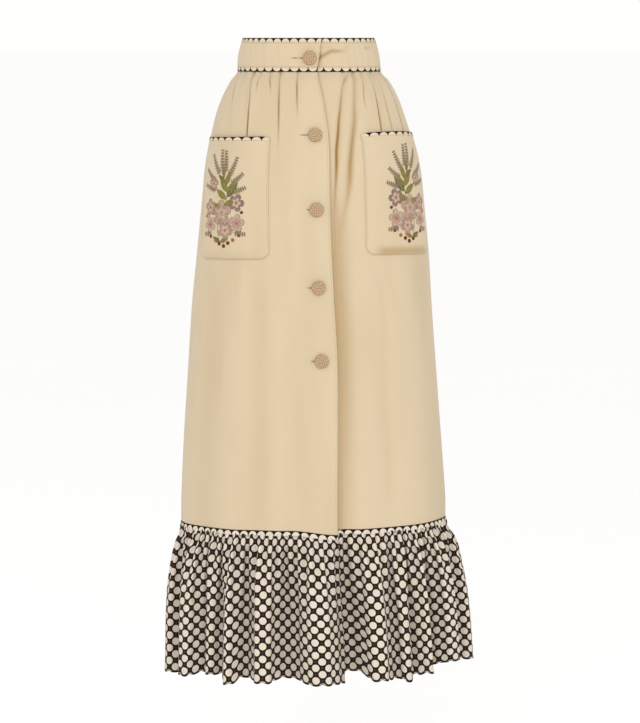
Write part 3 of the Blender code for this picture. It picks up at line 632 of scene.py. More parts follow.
def ellipse(angle, z):
    """The ring's point at an angle from the front, before any fold."""
    across = np.where(np.sin(angle) > 0, section_at(z, "left"), section_at(z, "right"))
    deep = np.where(np.cos(angle) > 0, section_at(z, "front"), section_at(z, "back"))
    return across * np.sin(angle), -deep * np.cos(angle)


def ring_tables():
    """For a ladder of heights: each share's angle round the ring, and the ring's length."""
    levels = np.linspace(SECTIONS[0].z, SECTIONS[-1].z, 241)
    shares = np.linspace(-0.5, 0.5, 401)
    angles = np.linspace(-1.5 * math.pi, 1.5 * math.pi, 4321)
    turned = np.empty((len(levels), len(shares)))
    lengths = np.empty(len(levels))
    for i, z in enumerate(levels):
        x, y = ellipse(angles, z)
        arc = np.concatenate([[0.0], np.cumsum(np.hypot(np.diff(x), np.diff(y)))])
        half_turn = len(angles) // 3
        lengths[i] = arc[2 * half_turn] - arc[0]
        front = np.abs(angles) < math.pi / 2
        centre = np.interp(closing_at(z, "centre_x"), x[front], arc[front])
        turned[i] = np.interp(shares, (arc - centre) / lengths[i], angles)
    return levels, turned, lengths


LEVELS, TURNED, LENGTHS = ring_tables()


def ring_length(z):
    return np.interp(z, LEVELS, LENGTHS)


def ring_angle(share, z):
    """The angle at which a share of the ring lies, read between the ladder's heights."""
    row = np.clip((z - LEVELS[0]) / (LEVELS[1] - LEVELS[0]), 0, len(LEVELS) - 1.001)
    column = ((share + 0.5) % 1.0) * (TURNED.shape[1] - 1)
    i, j = row.astype(int), np.minimum(column.astype(int), TURNED.shape[1] - 2)
    u, v = row - i, column - j
    top = TURNED[i, j] * (1 - v) + TURNED[i, j + 1] * v
    low = TURNED[i + 1, j] * (1 - v) + TURNED[i + 1, j + 1] * v
    return top * (1 - u) + low * u


def cloth_point(share, z, out):
    """Points at a share and height, moved outwards from the ring by out."""
    share, z, out = np.broadcast_arrays(
        np.asarray(share, float), np.asarray(z, float), np.asarray(out, float)
    )
    angle = ring_angle(share, z)
    x, y = ellipse(angle, z)
    across = np.where(np.sin(angle) > 0, section_at(z, "left"), section_at(z, "right"))
    deep = np.where(np.cos(angle) > 0, section_at(z, "front"), section_at(z, "back"))
    normal_x = np.sin(angle) / across
    normal_y = -np.cos(angle) / deep
    size = np.hypot(normal_x, normal_y)
    return np.stack([x + out * normal_x / size, y + out * normal_y / size, z], axis=-1)


def edge_share(z):
    """The share at which the overlapping front ends."""
    return closing_at(z, "past") / ring_length(z)


def underlap_inset(share, z, depth=UNDERLAP_INSET):
    """How far the layer underneath lies inside the ring: all of it under the overlap, none beyond it."""
    past = (share - edge_share(z)) * ring_length(z)
    return depth * (1.0 - smooth(past / INSET_FADE))


def back_gathers():
    """The gathers behind the side seams, evenly spaced."""
    made = []
    for k in range(BACK_GATHERS):
        share = SIDE_SEAM + (k + 0.5) * 0.5 / BACK_GATHERS
        pick = k % len(BACK_GATHER_LENGTHS)
        made.append(Gather(share, share, BACK_GATHER_LENGTHS[pick], BACK_GATHER_DEPTHS[pick]))
    return tuple(made)


GATHERS = FRONT_GATHERS + back_gathers()


def back_creases():
    """One narrow crease in each gather of the back, swaying a little to one side or the other."""
    made = []
    for k, gather in enumerate(back_gathers()):
        sway = BACK_CREASE_SWAY * math.sin(2.1 * k)
        low = -BAND_HALF - BACK_CREASE_REACH * gather.length
        middle = (0.5 * (low + CREASE_TOP), gather.share)
        route = ((CREASE_TOP, gather.share + sway), middle, (low, gather.share - sway))
        depth = BACK_CREASE_DEPTH * gather.depth
        made.append(Crease(route, depth, BACK_CREASE_WIDTH, 0.45 + 0.2 * math.sin(1.7 * k)))
    return tuple(made)


CREASES = FRONT_CREASES + back_creases()


def gather_share(gather, z):
    """A gather runs straight from its start at the waist to where it fades, and stays at that share."""
    drop = (-BAND_HALF - z) / gather.length
    return gather.share + (gather.low_share - gather.share) * np.clip(drop, 0.0, 1.0)


def gather_grooves(share, z):
    """How far the gathers draw the cloth in."""
    total = np.zeros(np.broadcast(share, z).shape)
    for gather in GATHERS:
        drop = np.clip((-BAND_HALF - z) / gather.length, 0.0, 1.0)
        width = GATHER_WIDTH * (1.0 + GATHER_SPREAD * drop)
        away = (share - gather_share(gather, z)) * ring_length(z) / width
        total += gather.depth * (1.0 - drop) ** 1.3 * np.exp(-away * away)
    return total


def fold_relief(share, z, folds=FOLDS):
    """How far the long folds stand out, or in where negative."""
    total = np.zeros(np.broadcast(share, z).shape)
    for fold in folds:
        along = (fold.z - z) / (fold.z - fold.low_z)
        centre = fold.share + (fold.low_share - fold.share) * np.clip(along, 0.0, 1.0)
        strength = smooth((fold.z - z) / FOLD_FADE) * smooth((z - fold.low_z) / FOLD_FADE)
        away = (share - centre) * ring_length(z)
        total += fold.depth * strength * np.exp(-((away / fold.width) ** 2))
    return total


def crease_share(crease, z):
    """The share at which a crease runs, kept beyond its two ends."""
    heights = [point[0] for point in crease.route][::-1]
    shares = [point[1] for point in crease.route][::-1]
    return curve_through(z, heights, shares)


def crease_depths(share, z):
    """For each narrow crease: how deep it is at these heights, and how many of its widths away it lies."""
    for crease in CREASES:
        top, low = crease.route[0][0], crease.route[-1][0]
        along = np.clip((top - z) / (top - low), 0.0, 1.0)
        rise = WAISTBAND_GRIP + (1 - WAISTBAND_GRIP) * smooth(along / crease.deepest)
        strength = rise * smooth((1 - along) / (1 - crease.deepest))
        away = (share - crease_share(crease, z)) * ring_length(z) / crease.width
        yield crease.depth * strength, away


def crease_relief(share, z):
    """How far the narrow creases stand in, and the soft lips on both sides of each stand out."""
    total = np.zeros(np.broadcast(share, z).shape)
    for depth, away in crease_depths(share, z):
        lips = np.exp(-((np.abs(away) - CREASE_SHOULDER) ** 2) / 2)
        total += depth * (CREASE_LIP * lips - np.exp(-away * away))
    return total


def crease_shade(share, z):
    """How much painted shade the cloth takes in a crease, a gather or a long fold's trough, from 0 to 1."""
    total = GATHER_SHADE * gather_grooves(share, z) / DEEPEST_CREASE
    for depth, away in crease_depths(share, z):
        total += depth / DEEPEST_CREASE * np.exp(-((away / CREASE_HALO) ** 2))
    # Painted shade in the troughs of the long folds below the hips
    trough = np.clip(-fold_relief(share, z, SHADED_FOLDS), 0.0, None) / DEEPEST_FOLD
    return np.clip(np.clip(total, 0.0, 1.0) ** CREASE_FALL + FOLD_TROUGH_SHADE * trough, 0.0, 1.0)


def overlap_shadow(share, z):
    """The painted shadow on the layer underneath, close to the overlap's edge."""
    past = (share - edge_share(z)) * ring_length(z)
    heights, strengths, reaches = zip(*EDGE_SHADOWS)
    strength, reach = curve_through(z, heights, strengths), curve_through(z, heights, reaches)
    return strength * np.exp(-((past / reach) ** 2))


def lean(share, z):
    """How far the strip's seams rise towards the wearer's left."""
    x = cloth_point(share, z, 0.0)[..., 0]
    return SEAM_LEAN * np.clip(x / LEAN_REACH, -1.0, 1.0)


def hem_lift(share, overlapping):
    """How far the hem lies above its usual height, where each front's own edge counts up to its end."""
    turned = (share + 0.5) % 1.0 - 0.5
    near = np.abs(turned) < 0.1
    own = np.minimum(turned, OVERLAP_LIFT_END) if overlapping else np.maximum(turned, UNDERLAP_LIFT_START)
    at = np.where(near, own, turned)
    return curve_through(at, [row.share for row in HEM_LIFTS], [row.lift for row in HEM_LIFTS])


def dip(share):
    """The overlapping front hangs a little lower at its edge."""
    return OVERLAP_DIP * smooth((share - DIP_START) / (DIP_END - DIP_START))


def hang(share, z, overlapping):
    """Heights of a panel's points once its lower seam leans and dips."""
    part = smooth((PANEL_HANG_ROW - z) / (PANEL_HANG_ROW - SEAM_Z))
    drop = dip(share) if overlapping else 0.0
    return z + part * (lean(share, z) - drop)


def calm(share, z):
    """0 at a side seam, where no fold shows, and 1 away from it."""
    away = np.minimum(np.abs(share - SIDE_SEAM), np.abs(share - 1.0 + SIDE_SEAM))
    away = np.minimum(away, np.abs(share + SIDE_SEAM)) * ring_length(z)
    return smooth(away / SEAM_CALM)


def relief(share, z):
    """The gathers and folds, which die out at a side seam."""
    return (fold_relief(share, z) - gather_grooves(share, z)) * calm(share, z)


def overlap_part(share, z):
    """0 at the edge of the overlapping front, which is flat there, and 1 away from it."""
    return smooth((edge_share(z) - share) * ring_length(z) / UNDERLAP)


def underlap_part(share, z):
    """0 on the front underneath up to the overlap's edge, and 1 away from it."""
    return smooth((share - edge_share(z)) * ring_length(z) / UNDER_CALM)


def whole_part(share, z):
    """1 everywhere, for the cloth that has no free edge."""
    return np.ones(np.broadcast(share, z).shape)


def rolled(distance):
    """How far a folded edge turns in, from the distance to it."""
    return EDGE_ROLL * (1.0 - smooth(distance / EDGE_ROLL_REACH)) ** 2


def cloth_piece(
    name, points, place, wall, materials, replaced, cut, shade=0.0
):
    """A thin wall whose outer face is a grid of points, rows downwards and columns to the wearer's left."""
    rows, columns = points.shape[:2]
    r, c = np.meshgrid(np.arange(rows - 1), np.arange(columns - 1), indexing="ij")
    first = (r * columns + c).ravel()
    corners = np.stack([first, first + columns, first + columns + 1, first + 1], axis=1)
    piece = mesh_piece(name, points.reshape(-1, 3), corners.tolist(), materials)
    put_place(piece.data, place.reshape(-1, 3))
    put_shade(piece.data, np.broadcast_to(shade, (rows, columns)))
    solid = piece.modifiers.new("wall", "SOLIDIFY")
    solid.thickness = wall
    solid.offset = -1.0
    solid.use_quality_normals = True
    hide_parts(*replaced)
    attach(piece, "root")
    max(cut[1], NARROWEST_CUT)
    return piece


def mesh_piece(name, points, corners, materials, kinds=None):
    """An object with a smooth mesh of these corners, and each face's material number if there are several."""
    mesh = bpy.data.meshes.new(name)
    mesh.from_pydata(points.tolist(), [], corners)
    mesh.shade_smooth()
    for made in materials:
        mesh.materials.append(made)
    if kinds is not None:
        mesh.polygons.foreach_set("material_index", np.asarray(kinds, dtype=np.int32))
    piece = bpy.data.objects.new(name, mesh)
    bpy.context.scene.collection.objects.link(piece)
    return piece


def put_place(mesh, place):
    """Keeps each point's place on the flat cloth."""
    kept = mesh.attributes.new("cloth_place", "FLOAT_VECTOR", "POINT")
    kept.data.foreach_set("vector", np.ascontiguousarray(place, dtype=np.float32).ravel())


def put_shade(mesh, shade):
    """Keeps how much painted shade each point takes, from 0 to 1."""
    kept = mesh.attributes.new("fold_shade", "FLOAT", "POINT")
    kept.data.foreach_set("value", np.ascontiguousarray(shade, dtype=np.float32).ravel())


def places(along, up, edge=0.0):
    """Places on flat cloth: metres along it, metres up it, and metres from its shaped edge."""
    return np.stack(np.broadcast_arrays(along, up, edge), axis=-1)


class Web:
    """The nodes of one material. Each input is a value or another node's output."""

    def __init__(self, name):
        self.material = bpy.data.materials.new(name)
        self.material.use_nodes = True
        self.nodes = self.material.node_tree.nodes
        self.links = self.material.node_tree.links
        self.shader = self.nodes["Principled BSDF"]

    def feed(self, socket, value):
        if isinstance(value, bpy.types.NodeSocket):
            self.links.new(value, socket)
        else:
            socket.default_value = value

    def math(self, operation, *values):
        node = self.nodes.new("ShaderNodeMath")
        node.operation = operation
        for socket, value in zip(node.inputs, values):
            self.feed(socket, value)
        return node.outputs[0]

    def mix(self, part, first, second):
        node = self.nodes.new("ShaderNodeMix")
        node.data_type = "RGBA"
        self.feed(node.inputs[0], part)
        self.feed(node.inputs[6], first)
        self.feed(node.inputs[7], second)
        return node.outputs[2]

    def step(self, value, low, high):
        """0 where value is low or less, 1 where it is high or more, smooth between."""
        node = self.nodes.new("ShaderNodeMapRange")
        node.interpolation_type = "SMOOTHSTEP"
        self.feed(node.inputs["Value"], value)
        node.inputs["From Min"].default_value = low
        node.inputs["From Max"].default_value = high
        return node.outputs["Result"]

    def place(self):
        """The place on the flat cloth, as its three numbers."""
        node = self.nodes.new("ShaderNodeAttribute")
        node.attribute_name = "cloth_place"
        parts = self.nodes.new("ShaderNodeSeparateXYZ")
        self.links.new(node.outputs["Vector"], parts.inputs[0])
        return parts.outputs[0], parts.outputs[1], parts.outputs[2]

    def shade(self):
        """How much painted shade the cloth takes, from 0 to 1."""
        node = self.nodes.new("ShaderNodeAttribute")
        node.attribute_name = "fold_shade"
        return node.outputs["Fac"]

    def length(self, x, y):
        """How long a flat step is."""
        return self.math("SQRT", self.math("MULTIPLY_ADD", x, x, self.math("MULTIPLY", y, y)))

    def vector(self, x, y, z=0.0):
        node = self.nodes.new("ShaderNodeCombineXYZ")
        for socket, value in zip(node.inputs, (x, y, z)):
            self.feed(socket, value)
        return node.outputs[0]

    def stretched_noise(self, x, y, scales, detail):
        """Noise that is finer or coarser along the cloth than up it."""
        place = self.vector(self.math("MULTIPLY", x, scales[0]), self.math("MULTIPLY", y, scales[1]))
        return self.noise(place, 1.0, detail)

    def noise(self, vector, scale, detail=2.0):
        node = self.nodes.new("ShaderNodeTexNoise")
        self.links.new(vector, node.inputs["Vector"])
        node.inputs["Scale"].default_value = scale
        node.inputs["Detail"].default_value = detail
        return node.outputs[0]

    def chance(self, vector):
        """A number from 0 to 1 and a colour that are the same wherever the vector is."""
        node = self.nodes.new("ShaderNodeTexWhiteNoise")
        self.links.new(vector, node.inputs["Vector"])
        return node.outputs["Value"], node.outputs["Color"]

    def bump(self, height, distance, strength=1.0):
        node = self.nodes.new("ShaderNodeBump")
        self.links.new(height, node.inputs["Height"])
        node.inputs["Distance"].default_value = distance
        node.inputs["Strength"].default_value = strength
        self.links.new(node.outputs["Normal"], self.shader.inputs["Normal"])

    def weave(self, along, up, size=WEAVE):
        """The height of a plain weave's threads, from -1 to 1."""
        warp = self.math("SINE", self.math("MULTIPLY", along, 2 * math.pi / size))
        weft = self.math("SINE", self.math("MULTIPLY", up, 2 * math.pi / size))
        return self.math("MULTIPLY", warp, weft)

    def finish(self, colour, roughness, sheen, shine=0.25):
        """The material, once it has its colour and how it takes light."""
        self.links.new(colour, self.shader.inputs["Base Color"])
        self.shader.inputs["Roughness"].default_value = roughness
        self.shader.inputs["Specular IOR Level"].default_value = shine
        self.shader.inputs["Sheen Weight"].default_value = sheen
        self.shader.inputs["Sheen Roughness"].default_value = 0.5
        return self.material


def cream_material():
    """Matte cream cloth in a plain weave, with faint slubs, a little unevenness of tone and painted shade."""
    web = Web("buttermilk_cloth")
    along, up, _ = web.place()
    streak = web.stretched_noise(along, up, STREAK_SCALES, 2.0)
    colour = web.mix(web.step(streak, 0.25, 0.65), srgb(CREAM_SHADE), srgb(CREAM_LIGHT))
    slub = web.step(web.stretched_noise(along, up, SLUB_SCALES, 1.0), 0.55, 0.75)
    colour = web.mix(web.math("MULTIPLY", slub, SLUB_PART), colour, srgb(CREAM_SLUB))
    weave = web.weave(along, up)
    colour = web.mix(web.math("MULTIPLY_ADD", weave, WEAVE_PART, WEAVE_PART), colour, srgb(CREAM_SLUB))
    # Painted shade from fold_shade: in creases, gathers and troughs, beside the overlap's edge, above pocket
    # bottoms
    colour = web.mix(web.shade(), colour, srgb(CREAM_PAINTED_SHADE))
    wrinkle = web.stretched_noise(along, up, WRINKLE_SCALES, 3.0)
    height = web.math("MULTIPLY_ADD", wrinkle, WRINKLE_PART, web.math("MULTIPLY", weave, 0.6))
    web.bump(height, CREAM_BUMP)
    return web.finish(colour, 0.82, 0.20)


def dot_distance(web, along, up):
    """The distance to the nearest dot of a square lattice turned by half a right angle, and that dot."""
    dots = []
    for shift in (0.0, 0.5):
        column = web.math("ADD", web.math("ROUND", web.math("SUBTRACT", along, shift)), shift)
        row = web.math("ADD", web.math("ROUND", web.math("SUBTRACT", up, shift)), shift)
        across, rise = web.math("SUBTRACT", along, column), web.math("SUBTRACT", up, row)
        dots.append((web.length(across, rise), web.vector(column, row, 7.0)))
    (far, cell), (other_far, other_cell) = dots
    node = web.nodes.new("ShaderNodeMix")
    node.data_type = "VECTOR"
    web.links.new(web.math("LESS_THAN", other_far, far), node.inputs[0])
    web.links.new(cell, node.inputs[4])
    web.links.new(other_cell, node.inputs[5])
    return web.math("MINIMUM", far, other_far), node.outputs[1]


def tint_by_chance(web, cell, part, rare_from, tints):
    """A dot's tint: between the first two by chance, and now and then near the third."""
    usual, second, rare = (srgb(code) for code in tints)
    chance, colours = web.chance(cell)
    tint = web.mix(web.math("MULTIPLY", chance, part), usual, second)
    parts = web.nodes.new("ShaderNodeSeparateXYZ")
    web.links.new(colours, parts.inputs[0])
    return web.mix(web.step(parts.outputs[1], rare_from, 1.0), tint, rare)


def print_material():
    """Chocolate cloth with cream dots, dark round each dot and paler between four of them."""
    web = Web("dotted_cloth")
    along, up, edge = web.place()
    wobble = web.noise(web.vector(along, up), 260.0, 2.0)
    shake = web.math("MULTIPLY_ADD", wobble, PRINT_SHAKE, -PRINT_SHAKE / 2)
    raised = web.math("DIVIDE", web.math("SUBTRACT", up, FIRST_DOT), DOT_REPEAT)
    far, cell = dot_distance(web, web.math("DIVIDE", along, DOT_REPEAT), raised)
    far = web.math("MULTIPLY_ADD", far, DOT_REPEAT, shake)
    patch = web.step(far, DOT_PATCH_START, DOT_PATCH_END)
    ground = web.mix(patch, srgb(PRINT_DARK), srgb(PRINT_GROUND))
    dot = tint_by_chance(web, cell, 0.8, 0.55, DOT_TINTS)
    mottle = web.step(web.noise(web.vector(along, up), 420.0, 3.0), 0.45, 0.75)
    dot = web.mix(web.math("MULTIPLY", mottle, MOTTLE_PART), dot, srgb(DOT_MOTTLE))
    colour = web.mix(web.step(far, DOT_RADIUS - 0.0002, DOT_RADIUS + 0.0003), dot, ground)
    colour = web.mix(web.step(edge, HEM_BINDING, HEM_BINDING + 0.0004), srgb(PRINT_DARK), colour)
    # Painted shade in the flounce's valleys darkens the print
    colour = web.mix(web.math("MULTIPLY", web.shade(), PRINT_FOLD_PART), colour, srgb(PRINT_PAINTED_SHADE))
    web.bump(web.weave(along, up), PRINT_BUMP)
    return web.finish(colour, 0.85, 0.03, 0.12)


def trim_material(name, height, pitch, tints, merged):
    """A row of cream half dots on chocolate, with their round sides to a thin dark edge.

    The place's third number is the distance from that edge, and merged is the colour at the flat sides.
    """
    web = Web(name)
    along, up, edge = web.place()
    turns = web.math("DIVIDE", along, pitch)
    cell = web.math("ROUND", turns)
    across = web.math("DIVIDE", web.math("SUBTRACT", turns, cell), TRIM_DOT_PART)
    rise = web.math("DIVIDE", web.math("SUBTRACT", height, edge), height - TRIM_LINE)
    tint = tint_by_chance(web, web.vector(cell, 3.0), 0.9, 0.6, tints)
    tint = web.mix(web.step(rise, TRIM_MERGE, 0.0), tint, srgb(merged))
    colour = web.mix(web.step(web.length(across, rise), 0.97, 1.03), tint, srgb(TRIM_DARK))
    web.bump(web.weave(along, up), PRINT_BUMP)
    return web.finish(colour, 0.85, 0.0, 0.10)


def thread_material(name, code):
    """Embroidery floss: a soft sheen, and tone that varies from stitch to stitch."""
    web = Web(name)
    node = web.nodes.new("ShaderNodeTexCoord")
    fine = web.noise(node.outputs["Object"], 900.0, 2.0)
    base = srgb(code)
    deep = tuple(THREAD_DEEP * part for part in base[:3]) + (1.0,)
    web.bump(fine, THREAD_BUMP)
    return web.finish(web.mix(web.step(fine, 0.35, 0.7), deep, base), 0.60, 0.08)


def straw_material():
    """Woven straw cord: tan, streaked along, with painted shade in the hollows between the cords and at the
    rim.
    """
    web = Web("button_straw")
    along, up, painted_light = web.place()
    streak = web.noise(web.vector(along, up, painted_light), 1500.0, 3.0)
    colour = web.mix(web.step(streak, 0.3, 0.7), srgb(STRAW_DEEP), srgb(STRAW_LIGHT))
    # Painted shade darkens the straw in the hollows between the cords, at the rim and underneath
    colour = web.mix(web.step(painted_light, 0.10, 0.85), srgb(STRAW_HOLLOW_SHADE), colour)
    web.bump(streak, STRAW_BUMP)
    return web.finish(colour, 0.60, 0.10)


def floor_material():
    """Plain and pale, with a tone that hardly varies."""
    web = Web("pale_floor")
    node = web.nodes.new("ShaderNodeTexCoord")
    faint = web.noise(node.outputs["Object"], 0.8, 2.0)
    return web.finish(web.mix(faint, *FLOOR_TONES), 0.9, 0.0)


def waistband():
    """One strip round the waist. Its hidden end starts under the overlap, and it ends in the overlap."""
    share, z = band_grid(np.linspace(BAND_HALF, -BAND_HALF, BAND_ROWS))
    edge = np.minimum(share - share[:, :1], share[:, -1:] - share) * ring_length(z)
    edge = np.minimum(edge, BAND_HALF - np.abs(z))
    middle = share[BAND_ROWS // 2]
    length = float(ring_length(0.0) * (middle[-1] - middle[0]))
    place = places(share * ring_length(0.0), z)
    points = cloth_point(share, z, band_out(share, z) - rolled(edge))
    # Painted shadow beside the band's overlapping end, and painted shade in the band's creases
    dim = BAND_DIM * overlap_shadow(share, z) * smooth((BAND_DIM_TOP - z) / BAND_DIM_TOP)
    shade = np.clip(band_creases(share, z) / DEEPEST_CREASE + dim, 0.0, 1.0)
    cut = (length, 2 * BAND_HALF)
    cloth_piece("band", points, place, BAND_WALL, [cream], ["waistband"], cut, shade=shade)
    for name, node, high, plain in (
        ("band_trim_top", "waist_trim_top", BAND_HALF, True),
        ("band_trim_seam", "waist_trim_seam", WAIST_TRIM_HEIGHT - BAND_HALF, False),
    ):
        share, z = band_grid(np.linspace(high, high - WAIST_TRIM_HEIGHT, TRIM_ROWS))
        far = high - z if plain else z - high + WAIST_TRIM_HEIGHT
        place = places(share * ring_length(0.0), z, far)
        points = cloth_point(share, z, band_out(share, z) + trim_stand(far, WAIST_TRIM_HEIGHT))
        cut = (length, WAIST_TRIM_HEIGHT)
        cloth_piece(name, points, place, TRIM_WALL, [band_trim], [node], cut)


def trim_stand(far, height):
    """How far a trim stands off its cloth: rolled in at its edge, and pressed flat at its sewn side."""
    return (GAP + TRIM_WALL) * (1.0 - 0.8 * smooth((far - height + TRIM_SLOPE) / TRIM_SLOPE)) - rolled(far)


def band_grid(heights):
    """Shares and heights of the waistband's points, from its hidden end once round to its overlapping end."""
    across = np.linspace(0.0, 1.0, BAND_COLUMNS)[None, :]
    z = heights[:, None] + 0.0 * across
    start = -UNDERLAP / ring_length(z)
    end = 1.0 + edge_share(z)
    return start + (end - start) * across, z


def band_out(share, z):
    """How far the band's face lies from the ring: puckered a little, and inset near its hidden end."""
    inset = np.where(share < 0.5, underlap_inset(share, z), 0.0)
    up = np.clip(1.0 - np.abs(z) / BAND_HALF, 0.0, 1.0)
    around = 2 * math.pi * share
    ripple = np.sin(around * BAND_RIPPLES) * np.sin(around * BAND_RIPPLE_TURNS + 60 * z)
    puff = (BAND_PUFF + BAND_RIPPLE * ripple) * smooth(2.5 * up) - BAND_PUFF
    to_end = (1.0 + edge_share(z) - share) * ring_length(z)
    lift = BAND_END_LIFT * (1.0 - smooth(np.abs(to_end) / BAND_END_REACH)) * smooth(1.6 * up)
    return puff - inset + lift - band_creases(share, z)


def band_creases(share, z):
    """The short creases beside the buttoned end, which run along the band and not down it."""
    total = np.zeros(share.shape)
    for crease in BAND_CREASES:
        at = [point[1] for point in crease.route][::-1]
        heights = [point[0] for point in crease.route][::-1]
        centre = curve_through(share, at, heights)
        inside = smooth((share - at[0]) / BAND_CREASE_START) * smooth((at[-1] - share) / BAND_CREASE_END)
        total += crease.depth * inside * np.exp(-(((z - centre) / crease.width) ** 2))
    return total


def panel_heights():
    """Heights of a panel's rows, close at the waist and farther apart below."""
    rows = [np.arange(top, low, -step) for top, low, step in PANEL_ROW_BANDS]
    last = SEAM_Z + np.array([0.0016, 0.0008, 0.0])
    return np.concatenate([np.concatenate(rows)[:-1], last])


def panel_columns(heights, low, high):
    """Shares of a panel's columns at each height: close to each crease and evenly spaced between."""
    low, high = low(heights), high(heights)
    margin = 2.2 * CREASE_OFFSETS[-1] / ring_length(heights)
    posts = [crease_share(crease, heights) for crease in CREASES]
    posts = [at for at in posts if np.all(at > low + margin) and np.all(at < high - margin)]
    posts = [low] + sorted(posts, key=lambda at: at[0]) + [high]
    columns = [low[:, None]]
    for here, after in zip(posts[:-1], posts[1:]):
        room = (after - here) * ring_length(heights)
        fit = np.minimum(1.0, CREASE_SHARE_OF_GAP * room / CREASE_OFFSETS[-1]) / ring_length(heights)
        near = np.array(CREASE_OFFSETS)[None, :] * fit[:, None]
        first, last = here + near[:, -1], after - near[:, -1]
        count = max(1, round(float(room.mean()) / PANEL_COLUMN) - 1)
        between = np.linspace(0.0, 1.0, count + 2)[None, 1:-1]
        columns += [
            here[:, None] + near,
            first[:, None] + (last - first)[:, None] * between,
            after[:, None] - near[:, ::-1],
            after[:, None],
        ]
    return np.concatenate(columns, axis=1)


def side_gap(z):
    """Half the gap at a side seam, as a share of the ring."""
    return 0.5 * GAP / ring_length(z)


# The three widths that the panels, the strip and the flounce are made in: the shares where each starts and
# ends at a height, how creased it is there, and whether it is the front that laps over or the one beneath
Width = namedtuple("Width", "side panel node start end part over under")
WIDTHS = (
    Width(
        "right", "overlapping_front", "front_right", lambda z: -SIDE_SEAM + side_gap(z), edge_share,
        overlap_part, True, False,
    ),
    Width(
        "left", "underlying_front", "front_left", lambda z: -UNDERLAP / ring_length(z),
        lambda z: SIDE_SEAM - side_gap(z), underlap_part, False, True,
    ),
    Width(
        "back", "back_panel", "back", lambda z: SIDE_SEAM + side_gap(z),
        lambda z: 1.0 - SIDE_SEAM - side_gap(z), whole_part, False, False,
    ),
)
OVERLAPPING = WIDTHS[0]


def lie(width, share, z, creased=True):
    """How far a width's cloth stands out, with its narrow creases or without them."""
    folds = relief(share, z)
    if creased:
        folds = folds + crease_relief(share, z) * calm(share, z)
    inset = underlap_inset(share, z) if width.under else 0.0
    return folds * width.part(share, z) - inset


def panel(width):
    """One panel, from the waistband's seam to the strip."""
    heights = panel_heights()
    share = panel_columns(heights, width.start, width.end)
    z = heights[:, None] + 0.0 * share
    from_edge = np.minimum(share - share[:, :1], share[:, -1:] - share) * ring_length(z)
    from_edge = np.minimum(from_edge, z - SEAM_Z)
    points = cloth_point(share, hang(share, z, width.over), lie(width, share, z) - rolled(from_edge))
    place = places(share * ring_length(SEAM_Z), z)
    across = float(share[-1, -1] - share[-1, 0]) * float(ring_length(SEAM_Z))
    cut = (across, -BAND_HALF - SEAM_Z)
    # Painted shade in creases, gathers and troughs; underneath, a painted shadow beside the overlap's edge
    shade = crease_shade(share, z) * calm(share, z) * width.part(share, z)
    if width.under:
        shade = np.minimum(1.0, shade + overlap_shadow(share, z))
    cloth_piece(width.panel, points, place, CREAM_WALL, [cream], [width.node], cut, shade=shade)


def pocket_place(patch, across, down, out=0.0):
    """Points of a pocket's face at parts across it from its inner edge and down it, and their heights."""
    side = np.minimum(across, 1 - across) * POCKET_WIDTH
    corner = np.clip(POCKET_CORNER - side, 0.0, POCKET_CORNER)
    bow = np.sin(math.pi * np.clip(across, 0, 1))
    tilt = patch.tilt * across
    low = patch.bottom - tilt + POCKET_CORNER - np.sqrt(POCKET_CORNER**2 - corner**2)
    droop = MOUTH_DROOP * np.exp(-((across * POCKET_WIDTH / MOUTH_DROOP_REACH) ** 2))
    high = patch.top - tilt - droop + patch.arch * bow
    z = high + (low - high) * down
    fall = np.clip((patch.top - z) / (patch.top - patch.bottom), 0.0, 1.0)
    inner = patch.top_share + (patch.low_share - patch.top_share) * fall
    share = inner + patch.side * POCKET_WIDTH / ring_length(z) * across
    puff = POCKET_PUFF * bow**0.7 * (0.35 + 0.65 * (1.0 - fall) ** 1.5)
    puff = puff + MOUTH_GAPE * bow * (1 - smooth(fall / MOUTH_GAPE_REACH))
    above = (z + tilt - patch.bottom - POCKET_SAG_HEIGHT) / POCKET_SAG_WIDTH
    sag = POCKET_SAG_DEPTH * np.exp(-(above**2))
    sag = sag * smooth(across / POCKET_SAG_FADE) * smooth((1 - across) / POCKET_SAG_FADE)
    press = POCKET_EDGE_PRESS * (1 - smooth(np.minimum(side, z - low) / POCKET_EDGE_REACH))
    stand = relief(share, z) + POCKET_STANDOFF + puff - sag - press
    return cloth_point(share, z, stand + out), z


def pocket_shade(patch, across, z):
    """The painted shade on the pocket above its bottom edge, where the cloth sags."""
    low = (z + patch.tilt * across - patch.bottom - POCKET_SHADE_HEIGHT) / POCKET_SHADE_WIDTH
    along = smooth((across - POCKET_SHADE_START) / POCKET_SHADE_RISE)
    return patch.dim * np.exp(-(low**2)) * along * smooth((1.0 - across) / POCKET_SHADE_END)


